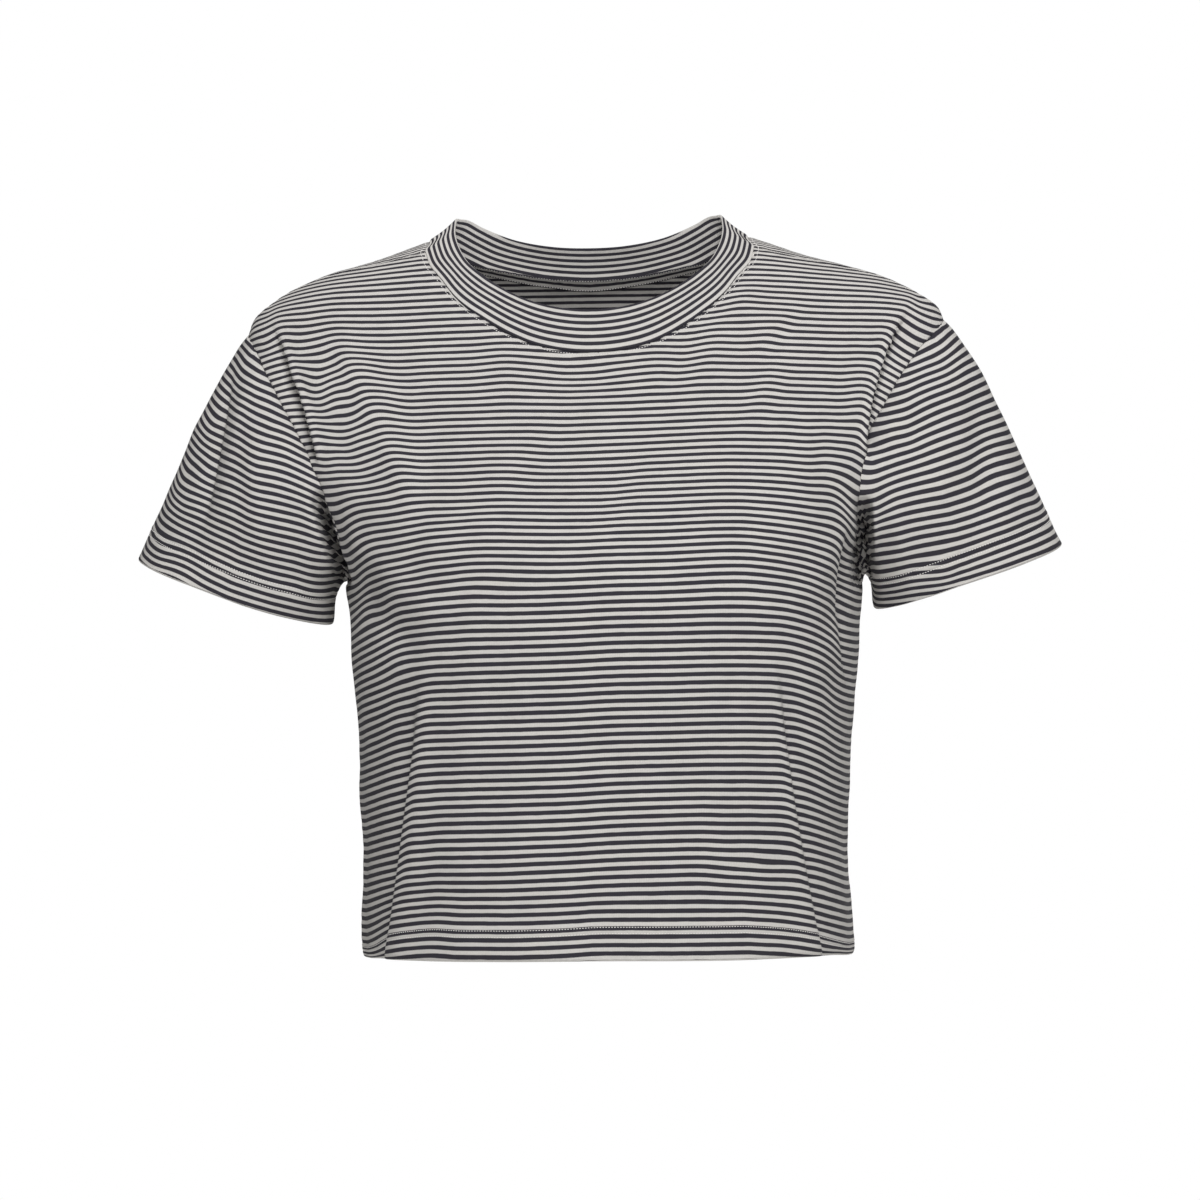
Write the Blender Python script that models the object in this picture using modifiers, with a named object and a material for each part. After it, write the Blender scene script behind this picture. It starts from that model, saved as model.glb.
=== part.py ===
"""Cropped T-shirt with short set-in sleeves and a doubled neckband, filled out as if worn.

+Z is up, +X is the wearer's left and the front faces -Y. The origin is on the centre line in the
plane of the shoulder ridges, level with the neck end of the shoulders, where a wearer carries it.
The tables below are in millimetres; MM turns them into metres where a mesh is made.
"""

import bpy
import numpy as np

MM = 0.001

# Driving dimensions
WALL = 1.2
BAND_WALL = 1.8
TAPE_WALL = 1.0
SEAM_GAP = 0.3
RING_POWER = 2.35
CUFF_POWER = 2.2
TAPE_WIDTH = 10.0
TAPE_FROM_SEAM = 1.2

# The body is a ring at each height: a superellipse with its own depth to the front and to the back.
# Above the underarms the rings narrow towards the neck, and their ends make the shoulder ridges.
RING_COLUMNS = ("height", "half_width", "front_depth", "back_depth")
RINGS = (
    (-440, 149.5, 128, 92),
    (-401, 147.6, 129.5, 92),
    (-365, 146.8, 131, 92.5),
    (-328, 149, 132.5, 93.5),
    (-292, 150, 134.5, 94.5),
    (-256, 153, 135.5, 96),
    (-222, 154.4, 134, 97.5),
    (-203, 157.5, 130, 98.5),
    (-180, 164.5, 121, 99.5),
    (-153, 180, 105, 99.5),
    (-131, 191, 90, 97.5),
    (-110, 199, 75, 93.5),
    (-90, 205, 60.5, 88),
    (-71, 209, 47.5, 81),
    (-52, 210, 36, 72),
    (-45, 207, 31.5, 68),
    (-36, 195, 26, 61.5),
    (-27, 178, 20.5, 54),
    (-19, 156, 16, 45.5),
    (-12, 130, 12, 35),
    (-5, 110, 7.5, 20),
    (0, 96, 4, 7),
    (3, 88, 2, 3),
)

# The armhole, from the underarm up to the shoulder point: how far its two edges turn round the
# body from the side, in degrees.
ARMHOLE_COLUMNS = ("height", "front_turn", "back_turn")
ARMHOLE = (
    (-205, 0, 0),
    (-202, 6, 5),
    (-195, 12.5, 10.5),
    (-180, 21.5, 17.5),
    (-153, 29.4, 23.8),
    (-131, 31.2, 25),
    (-107, 28.6, 23.8),
    (-84, 23.8, 20),
    (-64, 16, 13),
    (-55, 7, 6),
    (-52, 0, 0),
)

# The shoulder seam lies a little forward of the ridge near the neck.
SHOULDER_COLUMNS = ("out", "below_ridge")
SHOULDER_SEAM = ((99.5, 5.226), (118, 3.2), (150, 1.2), (180, 0.3), (210, 0))

# Where the hem's edge lies, from the front centre round the side to the back centre. A turn is in
# degrees round the body: -90 in front, 0 at the side and 90 at the back.
HEM_COLUMNS = ("turn", "height")
HEM = ((-90, -427.8), (-45, -429.6), (0, -433), (45, -432), (90, -431))

# Half of the neckband, from front centre to back centre: a point of its seam, which lies on the
# body at side -1 (front) or +1 (back), and the point of its folded top edge straight across it.
# The columns are side, seam_x, seam_height, edge_x, edge_y, edge_height.
NECK = (
    (-1, 0, -71, 0, -28, -45),
    (-1, 33.5, -66, 26, -25, -41.8),
    (-1, 58.5, -53.5, 47, -17.5, -33.8),
    (-1, 78.8, -37.5, 65, -8, -21.8),
    (-1, 92.6, -21, 76.5, 1.5, -9.5),
    (-1, 99.5, -6.5, 81.5, 11, 6),
    (1, 96, 0, 80.5, 19, 13.8),
    (1, 92.3, -2.9, 77.8, 23.6, 14.4),
    (1, 88.2, -5.6, 74.3, 27.6, 14.2),
    (1, 75, -10.8, 64.5, 33.5, 9.5),
    (1, 50, -16.2, 44.5, 39.5, 2),
    (1, 25, -20, 22, 42.5, -2),
    (1, 0, -21.5, 0, 43.5, -3),
)
SHOULDER_STATION = 5
BAND_BULGE = 2.5

# The open end of each sleeve (1 is the wearer's left): an ellipse whose long axis runs from the
# outer top corner to the inner low corner, with its front edge hanging lower.
CUFF_OUTER = {1: (279.0, -4.0, -190.0), -1: (280.6, -4.0, -187.0)}
CUFF_INNER = {1: (163.5, -4.0, -225.5), -1: (166.0, -4.0, -229.8)}
CUFF_HALF_DEPTH = 41.0
CUFF_FRONT_DROP = 5.0

# How far each sleeve swells past a straight run from armhole to cuff, for each share of the way
# round, from the underarm over the front, the top and the back.
SLEEVE_BULGE_COLUMNS = ("round", "bulge")
SLEEVE_BULGE = ((0.0, -4.0), (0.08, -3.0), (0.2, 5.0), (0.3, 9.0), (0.4, 7.0), (0.5, 5.5), (0.6, 4.0),
                (0.7, 7.0), (0.8, 4.0), (0.92, -3.0), (1.0, -4.0))

# The largest folds: a soft ridge (depth above 0) or trough from one point to the other, seen from
# the front (side -1) or the back (+1), with its half width. The columns are side, x_from,
# height_from, x_to, height_to, half_width, depth.
FOLDS = (
    (-1, -98, -270, -116, -425, 12, 3.0),
    (-1, -118, -285, -132, -425, 12, -4.5),
    (-1, 100, -255, 122, -425, 12, 3.0),
    (-1, 118, -260, 139, -425, 11, -4.5),
    (-1, -154, -48, -120, -141, 12, 2.0),
    (-1, -190, -69, -169, -131, 8, 2.5),
    (-1, 178, -51, 161, -116, 9, 2.5),
    (-1, -217, -68, -238, -160, 10, -3.5),
    (-1, 232, -85, 226, -165, 12, -3.0),
    (-1, 168, -165, 170, -222, 9, 4.0),
    (-1, -166, -172, -168, -222, 9, 3.0),
    (1, -62, -150, -88, -425, 15, 3.0),
    (1, -92, -190, -116, -425, 13, -4.0),
    (1, 74, -165, 96, -425, 15, 3.0),
    (1, 104, -180, 124, -425, 13, -4.0),
    (1, 150, -70, 112, -160, 12, 2.5),
    (1, -152, -72, -118, -158, 12, 2.0),
    (1, 228, -80, 232, -165, 12, -3.0),
    (1, -226, -85, -230, -170, 12, -3.0),
)

# How far the garment hangs off its centre line at each height, and how much the hem and the
# sleeves slope from one side to the other.
SWAY_COLUMNS = ("height", "to_left")
SWAY = ((-440, 1.8), (-380, 1.0), (-340, 1.0), (-300, 2.0), (-240, 3.2), (-200, 3.0), (-160, 1.5),
        (-110, 0.0), (-80, -1.6), (-55, -3.0), (-20, -3.2), (20, -3.6))
HEM_SLOPE = 1.2
SLEEVE_SLOPE = 0.007
SLEEVES_FROM = 155.0

# Mesh sizes
COLUMNS = 28
SIDE_ROWS = 13
ARMHOLE_ROWS = 14
SHOULDER_ROWS = 8
SLEEVE_RINGS = 11
BAND_ROWS = 4
TAPE_ROWS = 2
TAPE_STARTS = 3
RELAX_ROUNDS = 400

CLOTH = (0.56, 0.55, 0.54)


def column(columns, rows, name):
    return np.array([row[columns.index(name)] for row in rows], float)


def smooth(at, stations, values):
    """A cubic curve through values at rising stations, with its slope taken from the neighbours."""
    slopes = np.gradient(values, stations)
    at = np.clip(at, stations[0], stations[-1])
    left = np.clip(np.searchsorted(stations, at, side="right") - 1, 0, len(stations) - 2)
    span = stations[left + 1] - stations[left]
    part = (at - stations[left]) / span
    rise = part * part * (3 - 2 * part)
    return (values[left] * (1 - rise) + values[left + 1] * rise
            + span * part * (1 - part) ** 2 * slopes[left]
            - span * part * part * (1 - part) * slopes[left + 1])


def ring_value(name, height):
    return smooth(height, column(RING_COLUMNS, RINGS, "height"), column(RING_COLUMNS, RINGS, name))


def ridge_height(out):
    """Height of the shoulder ridge at a distance out from the centre line."""
    heights = column(RING_COLUMNS, RINGS, "height")
    widths = column(RING_COLUMNS, RINGS, "half_width")
    shoulder = heights >= -52
    return smooth(out, widths[shoulder][::-1], heights[shoulder][::-1])


def turn_at(out, height):
    """How far round from the side, in radians, the ring at this height is as far out as this."""
    share = np.clip(np.abs(out) / ring_value("half_width", height), 0, 1)
    return np.arccos(share ** (RING_POWER / 2))


def body_point(turn, height):
    """A point of the body: turn is 0 at the wearer's left, 90 degrees at the back, -90 in front."""
    across = np.cos(turn)
    along = np.sin(turn)
    depth = np.where(along < 0, ring_value("front_depth", height), ring_value("back_depth", height))
    power = 2 / RING_POWER
    x = ring_value("half_width", height) * np.sign(across) * np.abs(across) ** power
    y = depth * np.sign(along) * np.abs(along) ** power
    return np.stack([x, y, height], axis=-1)


def turn_of(spots):
    """How far round the body points on it lie, in radians, on the wearer's left half."""
    x, y, height = spots.T
    depth = np.where(y < 0, ring_value("front_depth", height), ring_value("back_depth", height))
    along = np.sign(y) * (np.abs(y) / depth) ** (RING_POWER / 2)
    return np.arctan2(along, (np.maximum(x, 0) / ring_value("half_width", height)) ** (RING_POWER / 2))


def folded(points):
    """The points moved in and out by the folds. Every piece uses it, so the seams still meet."""
    moved = points.copy()
    for side, x_from, height_from, x_to, height_to, half_width, depth in FOLDS:
        start = np.array([x_from, height_from], float)
        run = np.array([x_to, height_to], float) - start
        length = np.hypot(*run)
        flat = points[..., [0, 2]] - start
        along = flat @ run / length ** 2
        across = (flat[..., 0] * run[1] - flat[..., 1] * run[0]) / length
        ends = np.clip(np.minimum(along, 1.15 - along) / 0.3, 0, 1)
        face = np.clip(side * points[..., 1] / 25 - 0.4, 0, 1)
        height = depth * np.exp(-(across / half_width) ** 2) * ends * ends * (3 - 2 * ends) * face
        moved[..., 1] += side * height * 0.8
        moved[..., 0] += np.sign(points[..., 0]) * height * 0.6
    return moved


def hung(points):
    """The points as the garment hangs, a little off centre. It comes last, on every piece."""
    moved = points.copy()
    beyond = np.clip(np.abs(points[..., 0]) - SLEEVES_FROM, 0, 60) / 60
    moved[..., 0] += (1 - beyond) * smooth(points[..., 2], column(SWAY_COLUMNS, SWAY, "height"),
                                           column(SWAY_COLUMNS, SWAY, "to_left"))
    moved[..., 2] += SLEEVE_SLOPE * points[..., 0] * beyond
    return moved


def even_steps(points, steps):
    """Positions along a line of points, as fractions of its count, that are evenly far apart."""
    lengths = np.linalg.norm(np.diff(points, axis=0), axis=1)
    run = np.concatenate([[0], np.cumsum(lengths)])
    return np.interp(np.linspace(0, run[-1], steps + 1), run, np.linspace(0, 1, len(points)))


def armhole_line(side, steps):
    """Turn and height along one edge of the armhole, from the underarm to the shoulder point."""
    heights = column(ARMHOLE_COLUMNS, ARMHOLE, "height")
    name = "front_turn" if side < 0 else "back_turn"
    turns = side * np.radians(column(ARMHOLE_COLUMNS, ARMHOLE, name))
    knots = np.linspace(0, 1, len(heights))

    def line(at):
        return smooth(at, knots, turns), smooth(at, knots, heights)

    fine = line(np.linspace(0, 1, 200))
    return line(even_steps(body_point(*fine), steps))


def shoulder_line(steps):
    """Turn and height along the shoulder seam, from the shoulder point to the neck."""
    out = np.linspace(SHOULDER_SEAM[-1][0], SHOULDER_SEAM[0][0], steps + 1)
    below = smooth(out, column(SHOULDER_COLUMNS, SHOULDER_SEAM, "out"),
                   column(SHOULDER_COLUMNS, SHOULDER_SEAM, "below_ridge"))
    height = ridge_height(out) - below
    return -turn_at(out, height), height


def hem_height(turn):
    """Height of the hem's edge, the same on both sides of the body."""
    degrees = np.degrees(np.arcsin(np.sin(turn)))
    height = smooth(degrees, column(HEM_COLUMNS, HEM, "turn"), column(HEM_COLUMNS, HEM, "height"))
    return height - HEM_SLOPE * np.cos(turn)


def side_edge(side, turn):
    """One side edge of a panel, as on the wearer's left: side seam, armhole, then shoulder seam."""
    side_heights = np.linspace(hem_height(turn), ARMHOLE[0][0], SIDE_ROWS + 1)
    arm_turns, arm_heights = armhole_line(side, ARMHOLE_ROWS)
    top_turns, top_heights = shoulder_line(SHOULDER_ROWS)
    turns = np.concatenate([np.zeros(SIDE_ROWS), arm_turns, top_turns[1:]])
    heights = np.concatenate([side_heights[:-1], arm_heights, top_heights[1:]])
    return turns, heights


def neck_half(steps, first, last):
    """The neck table read off evenly between two of its stations: turn, height and top edge."""
    rows = np.array(NECK, float)
    mirror = np.array([1, -1, 1, -1, 1, 1])
    rows = np.concatenate([rows[1:2] * mirror, rows, rows[-2:-1] * mirror])
    turns = rows[:, 0] * turn_at(rows[:, 1], rows[:, 2])
    turns = np.where(rows[:, 1] < 0, rows[:, 0] * np.pi - turns, turns)
    spots = body_point(turns, rows[:, 2])
    run = np.concatenate([[0], np.cumsum(np.linalg.norm(np.diff(spots, axis=0), axis=1))])
    at = np.linspace(run[first + 1], run[last + 1], steps + 1)
    seam = np.stack([smooth(at, run, values) for values in spots.T], axis=-1)
    return [turn_of(seam), seam[:, 2]] + [smooth(at, run, values) for values in rows.T[3:]]


def neck_edge(side):
    """Turn and height along a panel's neck edge, from the centre to the wearer's left shoulder."""
    if side < 0:
        turns, heights, *_ = neck_half(COLUMNS // 2, 0, SHOULDER_STATION)
        return turns, heights
    turns, heights, *_ = neck_half(COLUMNS // 2, SHOULDER_STATION, len(NECK) - 1)
    return turns[::-1], heights[::-1]


def relaxed(grid):
    """Evens out the inside of a grid: each point goes to the middle of its four neighbours."""
    for _ in range(RELAX_ROUNDS):
        grid[1:-1, 1:-1] = (grid[2:, 1:-1] + grid[:-2, 1:-1] + grid[1:-1, 2:] + grid[1:-1, :-2]) / 4
    return grid


def half_panel(side, hem_side):
    """Turns and heights from the centre line to the wearer's left; the hem's are for hem_side."""
    edge_turns, edge_heights = side_edge(side, hem_side)
    neck_turns, neck_heights = neck_edge(side)
    centre = side * np.pi / 2
    up = np.linspace(0, 1, len(edge_turns))[:, None]
    half = np.linspace(0, 1, COLUMNS // 2 + 1)[None, :]
    hem_turns = centre * (1 - half)
    hem_line = hem_height(np.abs(hem_side - np.abs(hem_turns)) * side)
    turns = ((1 - up) * hem_turns + up * neck_turns
             + half * (edge_turns[:, None] - up * neck_turns[-1]))
    heights = ((1 - up) * hem_line + up * neck_heights
               + half * (edge_heights[:, None] - (1 - up) * hem_line[:, -1:] - up * neck_heights[-1]))
    return turns, heights


def panel_grid(side):
    """Grid of a front (side -1) or back (+1) panel, columns from hem to top, rows side to side."""
    left = np.stack(half_panel(side, 0.0), axis=-1)
    turns, heights = half_panel(side, np.pi)
    right = np.stack([side * np.pi - turns, heights], axis=-1)
    whole = relaxed(np.concatenate([right[:, ::-1], left[:, 1:]], axis=1))
    if side > 0:
        whole = whole[:, ::-1]
    return folded(body_point(whole[..., 0], whole[..., 1]))


def inward_of(line, inner):
    """Unit directions along the surface, from an edge line straight in towards the next line."""
    tangent = np.gradient(line, axis=0)
    tangent /= np.linalg.norm(tangent, axis=1, keepdims=True)
    inward = inner - line
    inward -= (inward * tangent).sum(axis=1, keepdims=True) * tangent
    return inward / np.linalg.norm(inward, axis=1, keepdims=True)


def part_seam(line_a, inner_a, wall_a, line_b, inner_b, wall_b, gap=SEAM_GAP):
    """Draws two pieces back from their shared seam, further where they meet at a sharper angle."""
    inward_a = inward_of(line_a, inner_a)
    inward_b = inward_of(line_b, inner_b)
    bend = np.arccos(np.clip(-(inward_a * inward_b).sum(axis=1), -0.9, 1))
    spread = np.tan(bend / 2)[:, None]
    line_a += inward_a * (gap / 2 + wall_a / 2 * spread)
    line_b += inward_b * (gap / 2 + wall_b / 2 * spread)


def make_material(name, colour):
    material = bpy.data.materials.new(name)
    material.use_nodes = True
    shader = material.node_tree.nodes["Principled BSDF"]
    shader.inputs["Base Color"].default_value = (*colour, 1)
    shader.inputs["Roughness"].default_value = 0.9
    shader.inputs["Metallic"].default_value = 0
    return material


def make_cloth(collection, name, grid, wall, colour, closed=False):
    """A cloth wall of the given thickness round a grid of points, closed across its columns or not."""
    rows, columns = grid.shape[:2]
    wrap = columns if closed else columns - 1
    faces = []
    for row in range(rows - 1):
        for step in range(wrap):
            beside = (step + 1) % columns
            faces.append((row * columns + step, row * columns + beside,
                          (row + 1) * columns + beside, (row + 1) * columns + step))
    mesh = bpy.data.meshes.new(name)
    mesh.from_pydata((grid.reshape(-1, 3) * MM).tolist(), [], faces)
    mesh.materials.append(make_material(name, colour))
    mesh.shade_smooth()
    piece = bpy.data.objects.new(name, mesh)
    collection.objects.link(piece)
    solidify = piece.modifiers.new("Wall", "SOLIDIFY")
    solidify.thickness = wall * MM
    solidify.offset = 0
    return piece


def sleeve_grid(front, back, which):
    """A sleeve, as on the wearer's left: rings from armhole to cuff, starting at the underarm."""
    armhole = np.concatenate([front[:-1], back[:0:-1]])
    steps = len(armhole)
    round_share = np.arange(steps) / steps
    angle = 2 * np.pi * round_share
    outer = np.array(CUFF_OUTER[which])
    inner = np.array(CUFF_INNER[which])
    down = np.cross(inner - outer, (0, 1, 0))
    down /= np.linalg.norm(down)
    forward = np.array([0, -CUFF_HALF_DEPTH, 0]) + down * CUFF_FRONT_DROP
    power = 2 / CUFF_POWER
    long_part = np.sign(np.cos(angle)) * np.abs(np.cos(angle)) ** power
    short_part = np.sign(np.sin(angle)) * np.abs(np.sin(angle)) ** power
    cuff = ((outer + inner) / 2 + long_part[:, None] * (inner - outer) / 2
            + short_part[:, None] * forward)
    bulge = smooth(round_share, column(SLEEVE_BULGE_COLUMNS, SLEEVE_BULGE, "round"),
                   column(SLEEVE_BULGE_COLUMNS, SLEEVE_BULGE, "bulge"))
    rings = []
    for share in np.linspace(0, 1, SLEEVE_RINGS + 1):
        straight = (1 - share) * armhole + share * cuff
        radial = straight - straight.mean(axis=0)
        radial /= np.linalg.norm(radial, axis=1, keepdims=True)
        rings.append(straight + radial * (bulge * 6.75 * share * (1 - share) ** 2)[:, None])
    return np.array(rings)


def neckband_grid(seam):
    """The band from its seam up to its folded top edge, all the way round the neck."""
    halves = [neck_half(COLUMNS // 2, 0, SHOULDER_STATION),
              neck_half(COLUMNS // 2, SHOULDER_STATION, len(NECK) - 1)]
    edge = np.concatenate([np.stack(half[2:], axis=-1)[skip:] for skip, half in enumerate(halves)])
    edge = np.concatenate([edge, edge[-2:0:-1] * (-1, 1, 1)])
    across = edge - seam
    along = np.roll(seam, -1, axis=0) - np.roll(seam, 1, axis=0)
    out = np.cross(along, across)
    out /= np.linalg.norm(out, axis=1, keepdims=True)
    rows = []
    for share in np.linspace(0, 1, BAND_ROWS + 1):
        rows.append(seam + across * share + out * BAND_BULGE * 4 * share * (1 - share))
    return np.array(rows)


def tape_grid(back):
    """A strip inside the back panel, made from its points just below the neck, moved in."""
    rows = []
    for below in np.linspace(TAPE_FROM_SEAM, TAPE_FROM_SEAM + TAPE_WIDTH, TAPE_ROWS + 1):
        line = []
        for points in np.swapaxes(back[::-1, TAPE_STARTS:-TAPE_STARTS], 0, 1):
            steps = np.linalg.norm(np.diff(points, axis=0), axis=1)
            run = np.concatenate([[0], np.cumsum(steps)])
            line.append([np.interp(below, run, points[:, axis]) for axis in range(3)])
        rows.append(line)
    grid = np.array(rows)
    outward = np.cross(np.gradient(grid, axis=0), np.gradient(grid, axis=1))
    outward /= np.linalg.norm(outward, axis=2, keepdims=True)
    return grid - outward * (WALL / 2 + SEAM_GAP + TAPE_WALL / 2)


def all_grids():
    """Every piece's grid of points, with the pieces drawn back from their seams."""
    front = panel_grid(-1)
    back = panel_grid(1)
    low = SIDE_ROWS
    high = SIDE_ROWS + ARMHOLE_ROWS
    half = COLUMNS // 2
    mirror = np.array([-1, 1, 1])
    tape = tape_grid(back)
    left = sleeve_grid(front[low:high + 1, -1], back[low:high + 1, 0], 1)
    right = sleeve_grid(front[low:high + 1, 0] * mirror, back[low:high + 1, -1] * mirror, -1) * mirror
    for sleeve in (left, right):
        sleeve[1:] = folded(sleeve[1:])
    seam = np.concatenate([front[-1, half:], back[-1, 1:], front[-1, 1:half]])
    band = neckband_grid(seam)
    part_seam(front[-1, half:], front[-2, half:], WALL, band[0, :half + 1], band[1, :half + 1], BAND_WALL)
    part_seam(back[-1, 1:-1], back[-2, 1:-1], WALL, band[0, half + 1:3 * half], band[1, half + 1:3 * half],
              BAND_WALL)
    part_seam(front[-1, :half], front[-2, :half], WALL, band[0, 3 * half:], band[1, 3 * half:], BAND_WALL)
    for edge, across, sleeve in ((-1, 0, left), (0, -1, right)):
        front_in = 1 if edge == 0 else -2
        back_in = 1 if across == 0 else -2
        for rows in (slice(0, low), slice(high + 1, None)):
            part_seam(front[rows, edge], front[rows, front_in], WALL,
                      back[rows, across], back[rows, back_in], WALL)
        arm = slice(low, high + 1)
        part_seam(front[arm, edge], front[arm, front_in], WALL,
                  sleeve[0, :ARMHOLE_ROWS + 1], sleeve[1, :ARMHOLE_ROWS + 1], WALL, 2 * SEAM_GAP)
        arm = slice(low + 1, high)
        part_seam(back[arm, across], back[arm, back_in], WALL,
                  sleeve[0, :ARMHOLE_ROWS:-1], sleeve[1, :ARMHOLE_ROWS:-1], WALL, 4 * SEAM_GAP)
        for row in (low, high):
            back[row, across] += inward_of(back[:, across], back[:, back_in])[row] * SEAM_GAP * 2
        back[-1, across] += inward_of(back[-1], back[-2])[across] * (SEAM_GAP + BAND_WALL / 2)
    return {"front": front, "back": back, "sleeve_left": left[::-1], "sleeve_right": right[::-1, ::-1],
            "neckband": band, "neck_tape": tape}


def main():
    for thing in list(bpy.data.objects):
        bpy.data.objects.remove(thing)
    collection = bpy.data.collections.new("crop_top")
    bpy.context.scene.collection.children.link(collection)
    walls = {"neckband": BAND_WALL, "neck_tape": TAPE_WALL}
    tubes = ("sleeve_left", "sleeve_right", "neckband")
    for name, grid in all_grids().items():
        make_cloth(collection, name, hung(grid), walls.get(name, WALL), CLOTH, closed=name in tubes)


main()
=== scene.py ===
import math

import bpy
import numpy as np
from mathutils import Matrix, Vector


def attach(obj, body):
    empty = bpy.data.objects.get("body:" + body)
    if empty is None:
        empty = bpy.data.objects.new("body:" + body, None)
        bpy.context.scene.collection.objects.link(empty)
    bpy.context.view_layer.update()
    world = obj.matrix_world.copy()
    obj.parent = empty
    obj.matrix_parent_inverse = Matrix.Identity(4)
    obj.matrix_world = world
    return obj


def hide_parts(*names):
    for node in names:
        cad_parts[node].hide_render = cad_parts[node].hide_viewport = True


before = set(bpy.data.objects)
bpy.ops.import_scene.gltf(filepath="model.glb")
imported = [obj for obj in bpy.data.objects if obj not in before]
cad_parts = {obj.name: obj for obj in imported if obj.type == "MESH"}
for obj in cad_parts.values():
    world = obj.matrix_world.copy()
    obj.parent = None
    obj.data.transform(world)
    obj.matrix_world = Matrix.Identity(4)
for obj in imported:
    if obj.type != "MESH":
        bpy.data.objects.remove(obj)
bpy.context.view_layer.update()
mm = 0.001
pitch = 4.9   # one light and one dark stripe


viewFrom = {"distance": 3.0, "height": -0.219, "lens": 148.5, "sensor": 36.0, "roll": -0.85}

studio = {
    "floorHeight": -0.85,
    "floorSize": 3.6,
    "floorColour": "#f6f6f5",
    "floorRoughness": 0.9,
    "wallColour": "#ffffff",
    "wallStrength": 1,
    "ambient": 0.16,
    # name, place, aims at, size across, size up, power
    "lamps": [
        ("key", (0.3, -1.9, 1.6), (0, 0, -0.1), 1.1, 0.8, 58),
        ("front", (-0.1, -3.3, 0.3), (0, 0, -0.2), 1.3, 1, 20),
        ("back", (0.5, 2.6, 1.4), (0, 0, -0.2), 1.6, 1.2, 60),
    ],
}


def placed(name, data):
    # an object made of the data, in the scene
    made = bpy.data.objects.new(name, data)
    bpy.context.scene.collection.objects.link(made)
    return made


def makeCamera():
    data = bpy.data.cameras.new("camera")
    data.lens = viewFrom["lens"]
    data.sensor_width = viewFrom["sensor"]
    camera = placed("camera", data)
    place = Matrix.Translation((0, -viewFrom["distance"], viewFrom["height"]))
    roll = Matrix.Rotation(math.radians(viewFrom["roll"]), 4, "Z")
    camera.matrix_world = place @ Matrix.Rotation(math.pi / 2, 4, "X") @ roll
    bpy.context.scene.camera = camera


def toLinear(code):
    # sRGB hex to linear: c / 12.92 below 0.04045, else ((c + 0.055) / 1.055) ^ 2.4
    parts = [int(code[i:i + 2], 16) / 255 for i in (1, 3, 5)]
    return tuple(c / 12.92 if c <= 0.04045 else ((c + 0.055) / 1.055) ** 2.4 for c in parts) + (1.0,)


def addNode(tree, kind, settings=None, links=None):
    # a node with its settings, values and links
    node = tree.nodes.new(kind)
    for name, value in (settings or {}).items():
        if isinstance(name, str) and hasattr(node, name):
            setattr(node, name, value)
        else:
            node.inputs[name].default_value = value
    for name, source in (links or {}).items():
        tree.links.new(source, node.inputs[name])
    return node


def newMaterial(name, values):
    # a material with these values on its shader
    material = bpy.data.materials.new(name)
    material.use_nodes = True
    tree = material.node_tree
    shader = tree.nodes["Principled BSDF"]
    for key, value in values.items():
        shader.inputs[key].default_value = value
    return material, tree, shader


def makeStudio():
    # the backdrop looks white, but only a part of it lights the garment, so the sides fall off
    world = bpy.data.worlds.new("white studio")
    world.use_nodes = True
    tree = world.node_tree
    background = tree.nodes["Background"]
    background.inputs["Color"].default_value = toLinear(studio["wallColour"])
    seen = addNode(tree, "ShaderNodeLightPath")
    strength = addNode(tree, "ShaderNodeMapRange", {"To Min": studio["ambient"], "To Max": studio["wallStrength"]},
                       {"Value": seen.outputs["Is Camera Ray"]})
    tree.links.new(strength.outputs["Result"], background.inputs["Strength"])
    bpy.context.scene.world = world
    bpy.context.scene.view_settings.view_transform = "Standard"

    half, low = studio["floorSize"] / 2, studio["floorHeight"]
    mesh = bpy.data.meshes.new("floor")
    mesh.from_pydata([(-half, -half, low), (half, -half, low), (half, half, low), (-half, half, low)],
                     [], [(0, 1, 2, 3)])
    paper = {"Base Color": toLinear(studio["floorColour"]), "Roughness": studio["floorRoughness"]}
    mesh.materials.append(newMaterial("white studio paper", paper)[0])
    floor = placed("floor", mesh)

    for name, place, aim, across, up, power in studio["lamps"]:
        data = bpy.data.lights.new(name, "AREA")
        data.shape = "RECTANGLE"
        data.size = across
        data.size_y = up
        data.energy = power
        turned = (Vector(aim) - Vector(place)).to_track_quat("-Z", "Y").to_matrix().to_4x4()
        placed(name, data).matrix_world = Matrix.Translation(place) @ turned
    print("studio: floor and", len(studio["lamps"]), "lamps")


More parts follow.
